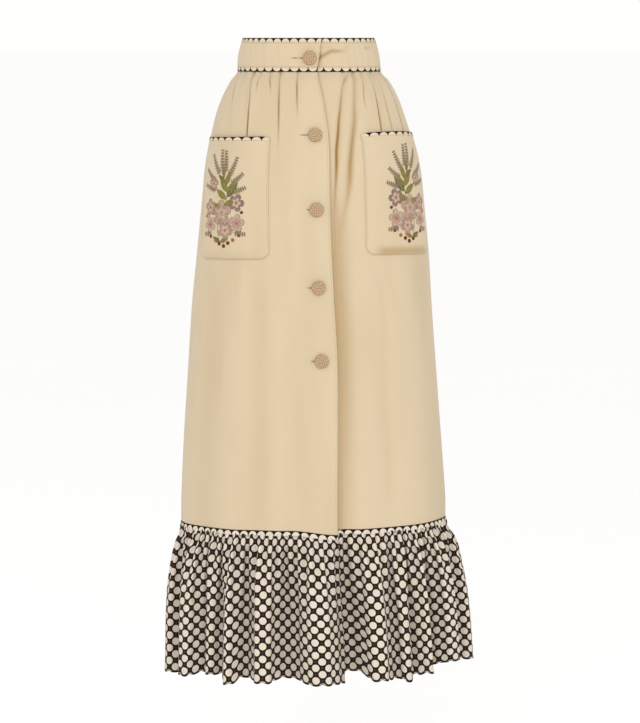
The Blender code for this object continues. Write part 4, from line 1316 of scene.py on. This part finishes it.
def pocket(patch):
    """One pocket, with the trim along its mouth."""
    columns = np.linspace(0, 1, POCKET_COLUMNS)[:: patch.side]
    across, down = np.meshgrid(columns, np.linspace(0, 1, POCKET_ROWS))
    height = patch.top - patch.bottom
    from_edge = np.minimum(np.minimum(across, 1 - across) * POCKET_WIDTH, (1 - down) * height)
    points, z = pocket_place(patch, across, down, -0.6 * rolled(from_edge))
    name = "patch_pocket_" + patch.name
    cloth_piece(
        name, points, places(patch.side * across * POCKET_WIDTH, z), CREAM_WALL, [cream],
        ["pocket_" + patch.name], (POCKET_WIDTH, height),
        shade=pocket_shade(patch, across, z),
    )
    across, down = np.meshgrid(columns, np.linspace(0, POCKET_TRIM_HEIGHT / height, TRIM_ROWS))
    far = down * height
    points, z = pocket_place(patch, across, down, trim_stand(far, POCKET_TRIM_HEIGHT))
    faded = far + CORNER_FADE * (1.0 - smooth(across * POCKET_WIDTH / CORNER_FADE_REACH))
    cloth_piece(
        "mouth_trim_" + patch.name, points, places(across * POCKET_WIDTH + POCKET_TRIM_START, z, faded),
        TRIM_WALL, [pocket_trim], ["pocket_trim_" + patch.name], (POCKET_WIDTH, POCKET_TRIM_HEIGHT),
    )


def strip(width):
    """One length of the printed strip between a panel and the flounce."""
    span = float(width.end(SEAM_Z) - width.start(SEAM_Z))
    columns = np.linspace(0.0, 1.0, round(span * STRIP_COLUMNS) + 1)
    z = np.linspace(SEAM_Z - GAP, SEAM_Z - STRIP_HEIGHT, STRIP_ROWS)[:, None] + 0.0 * columns
    share = width.start(z) + (width.end(z) - width.start(z)) * columns
    drop = dip(share) if width.over else 0.0
    far = SEAM_Z - GAP - z
    bulge = STRIP_BULGE * np.sin(math.pi * np.clip(far / STRIP_HEIGHT, 0, 1))
    out = lie(width, share, z, creased=False) + bulge - 0.7 * rolled(far)
    points = cloth_point(share, z + lean(share, z) - drop, out)
    place = places(share * ring_length(SEAM_Z), z, far)
    cut = (float(share[0, -1] - share[0, 0]) * float(ring_length(SEAM_Z)), STRIP_HEIGHT)
    cloth_piece(
        "seam_strip_" + width.side, points, place, TRIM_WALL, [strip_trim], ["hem_trim_" + width.side], cut,
    )


def all_waves():
    """Every wave's valley share at the hem, and its number of gathers, once round from the front's first."""
    valleys = [wave.share for wave in FRONT_WAVES]
    gathers = [wave.gathers for wave in FRONT_WAVES]
    share = BACK_WAVE_START
    spare = (FRONT_WAVES[0].share + 1.0 - BACK_WAVE_START) / sum(BACK_WAVE_WIDTHS)
    for width in BACK_WAVE_WIDTHS:
        valleys.append(share)
        gathers.append(BACK_WAVE_GATHERS)
        share += width * spare
    return np.array(valleys + [FRONT_WAVES[0].share + 1.0]), np.array(gathers)


def steepness_table():
    """Slope angles of a meander, and how far each shortens the meander's cloth."""
    angles = np.linspace(0.0, STEEPEST, 81)
    turns = np.linspace(0.0, 2.0 * math.pi, 181)
    return angles, np.cos(angles[:, None] * np.sin(turns)[None, :]).mean(axis=1)


MEANDER_ANGLES, MEANDER_TAKEN = steepness_table()


def steepness_for(shortening):
    """The largest slope angle of a meander that takes up this share of its cloth's length."""
    return np.interp(-shortening, -MEANDER_TAKEN, MEANDER_ANGLES)


def flounce_row(down):
    """Shares and outward distances along the flounce at one height, a step apart in its cloth.

    The cloth follows a meander, whose slope swings evenly along the cloth. At the seam it is taken up by
    small gathers, and lower down by the broad waves that they run into. It hangs straight at first.
    """
    valleys, gathers = all_waves()
    length = ring_length(SEAM_Z - STRIP_HEIGHT + (HEM_Z - SEAM_Z + STRIP_HEIGHT) * down)
    down = max(0.0, down - FLOUNCE_STRAIGHT)
    counted = np.concatenate([[0], np.cumsum(gathers)])
    seam_shift = SEAM_SHIFT * (np.arange(len(valleys)) == SHIFTED_WAVE)
    bounds = valleys + seam_shift * (1.0 - smooth(down * 1.3))
    wave_part = HEM_WAVE_PART * smooth(down / WAVE_GROWTH) ** 0.8
    share_steps, out_steps, wave_depths = [], [], []
    for k, count in enumerate(gathers):
        shortening = (bounds[k + 1] - bounds[k]) * length / (count * GATHER_CUT)
        steps = (np.arange(count * STEPS_PER_GATHER) + 0.5) / (count * STEPS_PER_GATHER)
        slope = steepness_for(shortening**wave_part) * np.sin(2 * math.pi * steps)
        slope = slope + steepness_for(shortening ** (1 - wave_part)) * np.sin(2 * math.pi * steps * count)
        forward = np.cos(slope)
        share_steps.append(forward / forward.sum() * (bounds[k + 1] - bounds[k]))
        rise = np.sin(slope) * GATHER_CUT / STEPS_PER_GATHER
        out_steps.append(rise)
        wave_depths.append(np.cumsum(rise).max())
    share = bounds[0] + np.concatenate([[0.0], np.cumsum(np.concatenate(share_steps))])
    out = np.concatenate([[0.0], np.cumsum(np.concatenate(out_steps))])
    depths = np.array(wave_depths)
    levels = -(depths + np.roll(depths, 1)) / 4
    cloth = np.arange(len(share)) / STEPS_PER_GATHER
    base = np.interp(cloth, counted, np.append(levels, levels[0]))
    return share, out + base


def flattening(down):
    """How much of the gathers' depth is left next to the seam, which presses them flat."""
    return SEAM_FLATTENING + (1 - SEAM_FLATTENING) * smooth((down - FLOUNCE_STRAIGHT) / FLATTENED_PART)


def scallop(along):
    """How far the hem's edge rises between two dots of its lowest row."""
    off = (along / DOT_REPEAT + 0.5) % 1.0 - 0.5
    return SCALLOP_RADIUS - np.sqrt(SCALLOP_RADIUS**2 - (off * DOT_REPEAT) ** 2)


def flounce_grid(first, last):
    """Shares, heights, outward distances and flat places of the flounce between two counts of gathers."""
    columns = np.arange(math.ceil(first * STEPS_PER_GATHER), math.floor(last * STEPS_PER_GATHER) + 1)
    columns = np.concatenate([[first], columns / STEPS_PER_GATHER, [last]])
    at = (columns + GATHERS_BEFORE_FRONT) * STEPS_PER_GATHER
    total = sum(all_waves()[1]) * STEPS_PER_GATHER
    turns = np.floor(at / total)
    fall = SEAM_Z - STRIP_HEIGHT - HEM_Z
    along = columns * GATHER_CUT
    edge = scallop(along) - HEM_DROP
    blend = SCALLOP_BLEND / fall
    downs = np.concatenate([
        np.linspace(0.0, 1.0 - blend, FLOUNCE_ROW_STEPS),
        np.linspace(1.0 - blend, 1.0, 7)[1:],
    ])
    shares, heights, outs, spots = [], [], [], []
    for down in downs:
        share, out = flounce_row(down)
        shares.append(np.interp(at - turns * total, np.arange(total + 1), share) + turns)
        setback = TOP_SETBACK + (HEM_SETBACK - TOP_SETBACK) * down
        outs.append(np.interp(at - turns * total, np.arange(total + 1), out) * flattening(down) - setback)
        up = fall * (1 - down) + edge * smooth((down - 1 + blend) / blend)
        heights.append(SEAM_Z - STRIP_HEIGHT - GAP - fall + up)
        spots.append(places(along, up, up - edge))
    # Painted shade in the flounce's valleys, stronger the deeper they lie below the crests beside them
    shades = [FLOUNCE_SHADE * fold_depth(out) for out in outs]
    crest = 1.0 - fold_depth(outs[0], FLOUNCE_TOP_DEPTH)
    outs[0] = outs[0] + FLOUNCE_LAP_STAND * crest
    top, spot = heights[0], spots[0]
    for rise, stand in FLOUNCE_LAPS:
        shares.insert(0, shares[0])
        outs.insert(0, stand * crest - FLOUNCE_TUCK_DEPTH * (1.0 - crest))
        heights.insert(0, top + rise * crest)
        spots.insert(0, spot + rise * crest[:, None] * np.array([0.0, 1.0, 1.0]))
        shades.insert(0, shades[0])
    return np.array(shares), np.array(heights), np.array(outs), np.array(spots), np.array(shades)


def fold_depth(out, full=FOLD_FULL_DEPTH):
    """How deep each point of a row lies below the crests beside it, from 0 to 1."""
    reach = FOLD_WINDOW // 2
    padded = np.pad(out, reach, mode="edge")
    crests = np.lib.stride_tricks.sliding_window_view(padded, 2 * reach + 1).max(axis=1)
    return np.clip((crests - out) / full, 0.0, 1.0)


def fallen(z):
    """How far down the flounce a height lies: 0 at its seam and 1 at its hem."""
    return (SEAM_Z - STRIP_HEIGHT - z) / (SEAM_Z - STRIP_HEIGHT - HEM_Z)


def flounce_hang(share, z, overlapping):
    """Heights of the flounce's points, which follow the seam above and, lower down, the hem's own line."""
    down = np.clip(fallen(z), 0.0, 1.1)
    drop = dip(share) if overlapping else 0.0
    return z + (lean(share, z) - drop) * (1 - down) + stepped_lift(share[-1], overlapping) * down**1.5


def stepped_lift(share, overlapping):
    """The hem's lift along its row: level on the face of each fold, and stepping on the steep sides."""
    valleys = all_waves()[0]
    turns = np.floor(share - valleys[0])
    at = share - turns
    first = np.clip(np.searchsorted(valleys, at) - 1, 0, len(valleys) - 2)
    low, high = valleys[first], valleys[first + 1]
    phase = 2.0 * (at - low) / (high - low)
    halves = np.floor(np.clip(phase, 0.0, 1.999))
    posts = [low + 0.5 * (high - low) * k for k in range(3)]
    lifts = [hem_lift(post + turns, overlapping) for post in posts]
    here = np.where(halves < 1, lifts[0], lifts[1])
    after = np.where(halves < 1, lifts[1], lifts[2])
    return here + (after - here) * smooth((phase - halves - 0.5) / STEP_WIDTH + 0.5)


def carried_folds(part, share, z):
    """What is left in the flounce of the folds above it."""
    seam = SEAM_Z - STRIP_HEIGHT + 0.0 * z
    folds = relief(share, seam) * part(share, seam)
    return folds * (1.0 - smooth(fallen(z) / FOLD_CARRY))


def flounce_inset(share, z):
    """The flounce's hidden end lies deeper than the panel's, clear of the overlapping flounce's gathers."""
    depth = UNDERLAP_INSET + (FLOUNCE_INSET - UNDERLAP_INSET) * smooth(fallen(z) / FLATTENED_PART)
    return underlap_inset(share, z, depth)


def ruffle(width, first, last):
    """One width of the flounce between two counts of gathers."""
    share, z, out, place, shade = flounce_grid(first, last)
    out = out + carried_folds(width.part, share, z)
    if width.under:
        out = out - flounce_inset(share, z)
    points = cloth_point(share, flounce_hang(share, z, width.over), out)
    cut = ((last - first) * GATHER_CUT, SEAM_Z - STRIP_HEIGHT - HEM_Z + FLOUNCE_LAP)
    cloth_piece(
        "ruffle_" + width.side, points, place, PRINT_WALL, [dots], ["flounce_" + width.side], cut,
        shade=shade,
    )


def flounce():
    """Three widths of printed cloth, gathered to the strip."""
    seam = 0.5 * FLOUNCE_SEAM_GAP / GATHER_CUT
    around = sum(all_waves()[1])
    spans = (
        (-FLOUNCE_SIDE_GATHERS + seam, FLOUNCE_EDGE_GATHERS),
        (-FLOUNCE_UNDERLAP_GATHERS, FLOUNCE_SIDE_GATHERS - seam),
        (FLOUNCE_SIDE_GATHERS + seam, around - FLOUNCE_SIDE_GATHERS - seam),
    )
    for width, (first, last) in zip(WIDTHS, spans):
        ruffle(width, first, last)


def button_face(turned):
    """The woven dome's points on a square grid bent into a disc, and how light each point is painted."""
    side = np.linspace(-1, 1, BUTTON_GRID + 1)
    a, b = np.meshgrid(side, side, indexing="ij")
    u = a * np.sqrt(1 - b * b / 2)
    v = b * np.sqrt(1 - a * a / 2)
    radius = np.hypot(u, v)
    bulge = np.sqrt(np.clip(1 - radius**2, 0.0, 1.0))
    dome = BUTTON_THICKNESS * (BUTTON_RIM_HEIGHT + (1 - BUTTON_RIM_HEIGHT) * bulge)
    x = BUTTON_RADIUS * (u * math.cos(turned) - v * math.sin(turned)) / BUTTON_CORD
    y = BUTTON_RADIUS * (u * math.sin(turned) + v * math.cos(turned)) / BUTTON_CORD
    x = x + BUTTON_WARP * np.sin(1.9 * y + 3.0 * turned)
    y = y + BUTTON_WARP * np.sin(1.6 * x + 5.0 * turned)
    over = (np.floor(x) + np.floor(y)) % 2 == 0
    along, across = np.where(over, x % 1.0, y % 1.0), np.where(over, y % 1.0, x % 1.0)
    cord = np.sin(math.pi * across) ** 0.6 * (0.35 + 0.65 * np.sin(math.pi * along) ** 0.7)
    rim = np.exp(-(((radius - BUTTON_RIM) / BUTTON_RIM_WIDTH) ** 2))
    cord = cord * (1 - rim) + rim
    height = dome + BUTTON_RELIEF * (cord - 0.75) * smooth((1.02 - radius) / 0.10)
    points = np.stack([BUTTON_RADIUS * u, BUTTON_RADIUS * v, height], axis=-1)
    # Painted shade: the straw is painted darker in the hollows between the cords, and more so at the rim
    return points, cord * (1.0 - BUTTON_RIM_SHADE * smooth((radius - 0.78) / 0.20))


def button(number, z):
    """A domed button woven of cord on a short shank, square to the cloth that it lies on."""
    points, cord = button_face(BUTTON_TURNS[number - 1])
    size = BUTTON_GRID + 1
    index = np.arange(size * size).reshape(size, size)
    quads = np.stack([index[:-1, :-1], index[1:, :-1], index[1:, 1:], index[:-1, 1:]], axis=-1)
    faces = quads.reshape(-1, 4).tolist()
    points = points.reshape(-1, 3)
    painted_light = cord.reshape(-1)
    last = np.concatenate([index[:-1, 0], index[-1, :-1], index[:0:-1, -1], index[0, :0:-1]]).tolist()
    sides = len(last)
    turned = points[last, :2] / np.hypot(points[last, 0], points[last, 1])[:, None]
    # The underside's rings take painted shade, darker towards the shank
    for radius, height, depth in BUTTON_UNDERSIDE:
        points = np.vstack([points, np.column_stack([turned * radius, np.full(sides, height)])])
        painted_light = np.concatenate([painted_light, np.full(sides, depth)])
        now = list(range(len(points) - sides, len(points)))
        faces += [(last[k - 1], now[k - 1], now[k], last[k]) for k in range(sides)]
        last = now
    faces.append(last[::-1])
    made = mesh_piece(f"woven_button_{number}", points, faces, [straw])
    put_place(made.data, np.column_stack([points[:, 0], points[:, 1], painted_light]))
    along = cloth_point(0.01, z, 0.0) - cloth_point(-0.01, z, 0.0)
    up = cloth_point(0.0, z + 0.004, 0.0) - cloth_point(0.0, z - 0.004, 0.0)
    outward = Vector(np.cross(along, up)).normalized()
    made.rotation_euler = outward.to_track_quat("Z", "Y").to_euler()
    made.location = Vector(cloth_point(0.0, z, 0.0)) + (GAP + BUTTON_LIFT) * outward
    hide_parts(f"button_{number}")
    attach(made, "root")


class Needlework:
    """Stitches on a flat place, each a small closed ridge of thread, gathered into one mesh."""

    def __init__(self):
        self.points = []
        self.corners = []
        self.kinds = []

    def stitch(self, start, end, width, height, kind=0):
        """A thread from start to end, thickest and highest in its middle."""
        start, end = np.asarray(start, float), np.asarray(end, float)
        length = max(float(np.hypot(*(end - start))), 1e-6)
        side = np.array([start[1] - end[1], end[0] - start[0]]) / length * width / 2
        first = len(self.points)
        for part, wide, high in STITCH_STATIONS:
            middle = start + (end - start) * part
            self.points.append((*(middle - side * wide), 0.0))
            self.points.append((*middle, height * high))
            self.points.append((*(middle + side * wide), 0.0))
        for a in range(first, first + 3 * len(STITCH_STATIONS) - 3, 3):
            self.corners += [(a, a + 3, a + 4, a + 1), (a + 1, a + 4, a + 5, a + 2), (a + 2, a + 5, a + 3, a)]
        end_ring = first + 3 * len(STITCH_STATIONS) - 3
        self.corners += [(first, first + 1, first + 2), (end_ring + 2, end_ring + 1, end_ring)]
        self.kinds += [kind] * (3 * len(STITCH_STATIONS) - 1)

    def line(self, path, pitch, part, width, height, kind=0):
        """Stitches along a path, one every pitch, each filling a part of it."""
        path = np.asarray(path, float)
        run = np.concatenate([[0.0], np.cumsum(np.hypot(*np.diff(path, axis=0).T))])
        count = max(1, round(run[-1] / pitch))
        starts = np.arange(count) / count
        for start in starts:
            ends = np.array([start, start + part / count]) * run[-1]
            x, y = np.interp(ends, run, path[:, 0]), np.interp(ends, run, path[:, 1])
            self.stitch((x[0], y[0]), (x[1], y[1]), width, height, kind)

    def piece(self, name, surface, materials, slot):
        """The mesh, once surface has laid the flat points on the garment."""
        flat = np.array(self.points)
        made = mesh_piece(name, surface(*flat.T), self.corners, materials, self.kinds)
        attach(made, "root")


def turn(point, angle, about=(0.0, 0.0)):
    """A flat point turned by an angle and moved."""
    x, y = point
    return (
        about[0] + x * math.cos(angle) - y * math.sin(angle),
        about[1] + x * math.sin(angle) + y * math.cos(angle),
    )


def leaf(work, base, angle, length, width, kind, vein):
    """A leaf filled from its midrib to both edges, as fishbone stitch fills it."""
    count = max(5, round(length / LEAF_THREAD[0]))
    for k in range(count):
        t = (k + 0.5) / count
        inner = turn((length * max(0.0, t - 0.10), 0.0), angle, base)
        reach = width / 2 * math.sin(math.pi * t**0.85)
        for side in (-1, 1):
            work.stitch(inner, turn((length * t, side * reach), angle, base), *LEAF_THREAD, kind)
    work.line([base, turn((length * 0.97, 0.0), angle, base)], *LEAF_VEIN, vein)


def petal(work, centre, angle, length, width, fills, outline):
    """A round petal: two lengths of thread fan out from its foot, and a darker line runs round it."""
    edge = []
    for k in range(PETAL_THREADS):
        across = 2 * (k + 0.5) / PETAL_THREADS - 1
        fan = angle + 0.75 * across * width / length
        reach = length * (1 - 0.28 * across**2 - 0.10 * abs(across) ** 3)
        middle = reach * (0.55 + 0.12 * (k % 2))
        for start, end, thread, fill in (
            (0.16 * length, middle, PETAL_FOOT_THREAD, fills[0]),
            (middle * 0.9, reach, PETAL_END_THREAD, fills[1]),
        ):
            work.stitch(turn((start, 0), fan, centre), turn((end, 0), fan, centre), *thread, fill)
        edge.append(turn((reach + 0.0002, 0), fan, centre))
    foot = turn((0.2 * length, 0), angle, centre)
    work.line([foot] + edge + [foot], *PETAL_RIM, outline)


def blossom(work, centre, radius, turned, fills, outline):
    """Five petals and a heart of knots."""
    for k in range(5):
        petal(work, centre, turned + 2 * math.pi * k / 5, radius, radius * 0.80, fills, outline)
    for k in range(7):
        at = turn((radius * (0.0 if k == 0 else 0.13), 0), k * math.pi / 3, centre)
        knot(work, at, KNOT_RADIUS, AMBER)


def knot(work, centre, radius, kind):
    """A knot of three crossed stitches."""
    for k in range(3):
        away = turn((radius, 0), k * math.pi / 3)
        start = (centre[0] - away[0], centre[1] - away[1])
        work.stitch(start, (centre[0] + away[0], centre[1] + away[1]), radius, KNOT_HEIGHT, kind)


def berry(work, centre, radius, kind, outline):
    """A round berry of side by side threads, with a line round its lower half."""
    count = max(4, round(2 * radius / BERRY_PITCH))
    for k in range(count):
        across = 2 * (k + 0.5) / count - 1
        half = radius * math.sqrt(1 - across**2)
        x = centre[0] + across * radius
        work.stitch((x, centre[1] - half), (x, centre[1] + half), *BERRY_THREAD, kind)
    rim = [turn((radius, 0), math.pi + k * math.pi / 6, centre) for k in range(7)]
    work.line(rim, *BERRY_RIM, outline)


def fern(work, base, angle, length, kind):
    """A feathery spray: a bent stem with paired short leaves that grow smaller to its tip."""
    bend = FERN_BEND if math.cos(angle) > 0 else -FERN_BEND
    count = max(4, round(length / FERN_PITCH))
    path = []
    for k in range(count + 1):
        t = k / count
        path.append(turn((length * t, bend * length * t * t * 0.45), angle, base))
        if k == 0:
            continue
        small = FERN_LEAF_LENGTH * (1 - 0.45 * t)
        for side in (-1, 1):
            for spread, part, width in FERN_LEAVES:
                tip = turn((small * part, 0), angle + bend * t + side * spread, path[-1])
                work.stitch(path[-1], tip, width, FERN_LEAF_HEIGHT, kind)
    work.line(path, *FERN_STEM, kind)


def stem_at(height):
    """The spray's stem swings from side to side as it rises."""
    return STEM_SWING * math.sin(2 * math.pi * height / STEM_WAVE + 0.3), height


def spray(work):
    """A generic garden spray: a swinging stem with round blossoms, leaves, feathery sprigs and berries."""
    work.line([stem_at(height) for height in np.linspace(0.0, STEM_HEIGHT, 28)], *SPRAY_STEM, MOSS)
    for base, angle, length in SPRAY_FERNS:
        fern(work, base, angle, length, TAUPE)
    for height, side, spread, length, kind in SPRAY_LEAVES:
        leaf(work, stem_at(height), math.pi / 2 - side * spread, length, 0.42 * length, kind, BROWN)
    for centre, radius, turned, fills, outline in SPRAY_BLOSSOMS:
        blossom(work, centre, radius, turned, fills, outline)
    for centre, radius, kind in SPRAY_BERRIES:
        berry(work, centre, radius, kind, BROWN)


def embroidery(patch):
    """The spray on one pocket, mirrored on the other."""
    work = Needlework()
    spray(work)
    height = patch.top - patch.bottom

    def surface(x, y, up):
        across = (SPRAY_ACROSS + SPRAY_SCALE * x) / POCKET_WIDTH
        down = (height - SPRAY_FOOT - SPRAY_SCALE * y) / height
        return pocket_place(patch, across, down, up)[0]

    work.piece("embroidery_" + patch.name, surface, floss, "dotted_cloth")


def pocket_stitching(patch):
    """The line of stitches that holds a pocket to its front."""
    work = Needlework()
    height = patch.top - patch.bottom
    near, far = POCKET_STITCH_INSET, POCKET_WIDTH - POCKET_STITCH_INSET
    for x in (near, far):
        work.line([(x, POCKET_STITCH_TOP), (x, height - POCKET_CORNER)], *SEWING)
    work.line([(near + (far - near) * k / 40, height - near) for k in range(41)], *SEWING)

    def surface(x, y, up):
        return pocket_place(patch, x / POCKET_WIDTH, y / height, up)[0]

    work.piece("pocket_stitches_" + patch.name, surface, [stitch_thread], "buttermilk_cloth")


def edge_stitching():
    """Stitches down the edge of the overlapping front, and along both sides of the waistband."""
    work = Needlework()
    work.line([(0.0, EDGE_STITCH_TOP), (0.0, EDGE_STITCH_END)], *SEWING)

    def down_the_edge(x, z, up):
        share = edge_share(z) + (x - EDGE_STITCH_INSET) / ring_length(z)
        return cloth_point(share, hang(share, z, True), lie(OVERLAPPING, share, z) + up)

    work.piece("edge_stitches", down_the_edge, [stitch_thread], "buttermilk_cloth")
    work = Needlework()
    around = 1.0 + float(edge_share(0.0)) - BAND_STITCH_START
    ends = np.linspace(BAND_STITCH_START, BAND_STITCH_START + around, 200) * float(ring_length(0.0))
    row = BAND_HALF - WAIST_TRIM_HEIGHT - BAND_STITCH_INSET
    for z in (row, -row):
        work.line([(x, z) for x in ends], *SEWING)

    def round_the_band(x, z, up):
        share = x / ring_length(0.0)
        return cloth_point(share, z, band_out(share, z) + up)

    work.piece("band_stitches", round_the_band, [stitch_thread], "buttermilk_cloth")


def button_ground(number, share, z):
    """How far the cloth round a button stands out: the waistband for the first, or else the front."""
    return band_out(share + 1.0, z) if number == 1 else lie(OVERLAPPING, share, z)


def buttonhole(number, z):
    """A slit from the button's middle towards the wearer's right, with close stitches along both sides."""
    work = Needlework()
    length = BUTTONHOLE_LENGTHS[number - 1]
    # The slit is a thin thread whose dark colour is painted shade in the buttonhole's opening
    work.stitch((-length, 0.0), (0.0, 0.0), *SLIT_THREAD, 1)
    for k in range(round(length / BUTTONHOLE_PITCH)):
        x = -length + BUTTONHOLE_PITCH * (k + 0.5)
        for side in (-1, 1):
            end = (x + BUTTONHOLE_SLANT, side * BUTTONHOLE_HALF)
            work.stitch((x, side * BUTTONHOLE_INNER), end, *BUTTONHOLE_THREAD, 0)
    for k in range(3):
        x = -length - BAR_PITCH * k
        work.stitch((x, -BUTTONHOLE_HALF), (x, BUTTONHOLE_HALF), *BAR_THREAD, 0)

    def surface(x, y, up):
        share = x / ring_length(z)
        return cloth_point(share, z + y, button_ground(number, share, z + y) + up)

    work.piece(f"buttonhole_{number}", surface, [stitch_thread, slit], "buttermilk_cloth")


def area_light(lamp):
    """One soft rectangular lamp, aimed at the middle of the garment."""
    light = bpy.data.lights.new(lamp.name, "AREA")
    light.shape = "RECTANGLE"
    light.size, light.size_y = lamp.size
    light.energy = lamp.power
    made = bpy.data.objects.new(lamp.name, light)
    made.location = lamp.place
    made.rotation_euler = (Vector(LAMP_AIM) - Vector(lamp.place)).to_track_quat("-Z", "Y").to_euler()
    bpy.context.scene.collection.objects.link(made)


def studio():
    """A plain pale floor under soft, even light, and the camera."""
    mesh = bpy.data.meshes.new("floor")
    half = FLOOR_SIZE / 2
    mesh.from_pydata(
        [(-half, -half, FLOOR_Z), (half, -half, FLOOR_Z), (half, half, FLOOR_Z), (-half, half, FLOOR_Z)],
        [], [(0, 1, 2, 3)],
    )
    mesh.materials.append(floor_material())
    floor = bpy.data.objects.new("floor", mesh)
    bpy.context.scene.collection.objects.link(floor)
    world = bpy.data.worlds.new("studio")
    world.use_nodes = True
    background = world.node_tree.nodes["Background"]
    background.inputs["Color"].default_value = WORLD_COLOUR
    background.inputs["Strength"].default_value = WORLD_LIGHT
    bpy.context.scene.world = world
    for lamp in LAMPS:
        area_light(lamp)
    data = bpy.data.cameras.new("camera")
    data.lens = CAMERA_LENS
    data.clip_end = 2 * FLOOR_SIZE
    camera = bpy.data.objects.new("camera", data)
    camera.location = CAMERA_PLACE
    camera.rotation_euler = (CAMERA_TILT, 0.0, 0.0)
    bpy.context.scene.collection.objects.link(camera)
    bpy.context.scene.camera = camera
    bpy.context.scene.view_settings.view_transform = "Standard"


cream = cream_material()
dots = print_material()
band_trim = trim_material("band_trim_print", WAIST_TRIM_HEIGHT, WAIST_TRIM_PITCH, TRIM_TINTS, CREAM_LIGHT)
pocket_trim = trim_material(
    "pocket_trim_print", POCKET_TRIM_HEIGHT, POCKET_TRIM_PITCH, TRIM_TINTS, CREAM_LIGHT
)
strip_trim = trim_material("seam_strip_print", STRIP_HEIGHT, STRIP_PITCH, STRIP_TINTS, DOT_CREAM)
straw = straw_material()
stitch_thread = thread_material("stitch_thread", STITCH)
# The slit's thread takes the colour of painted shade
slit = thread_material("buttonhole_slit_shade", SLIT_SHADE)
floss = [thread_material("floss_" + name, code) for name, code in FLOSS.items()]

studio()
waistband()
for width in WIDTHS:
    panel(width)
for patch in POCKETS:
    pocket(patch)
    embroidery(patch)
    pocket_stitching(patch)
for width in WIDTHS:
    strip(width)
flounce()
edge_stitching()
for number, height in enumerate(BUTTON_HEIGHTS, 1):
    button(number, height)
    buttonhole(number, height)
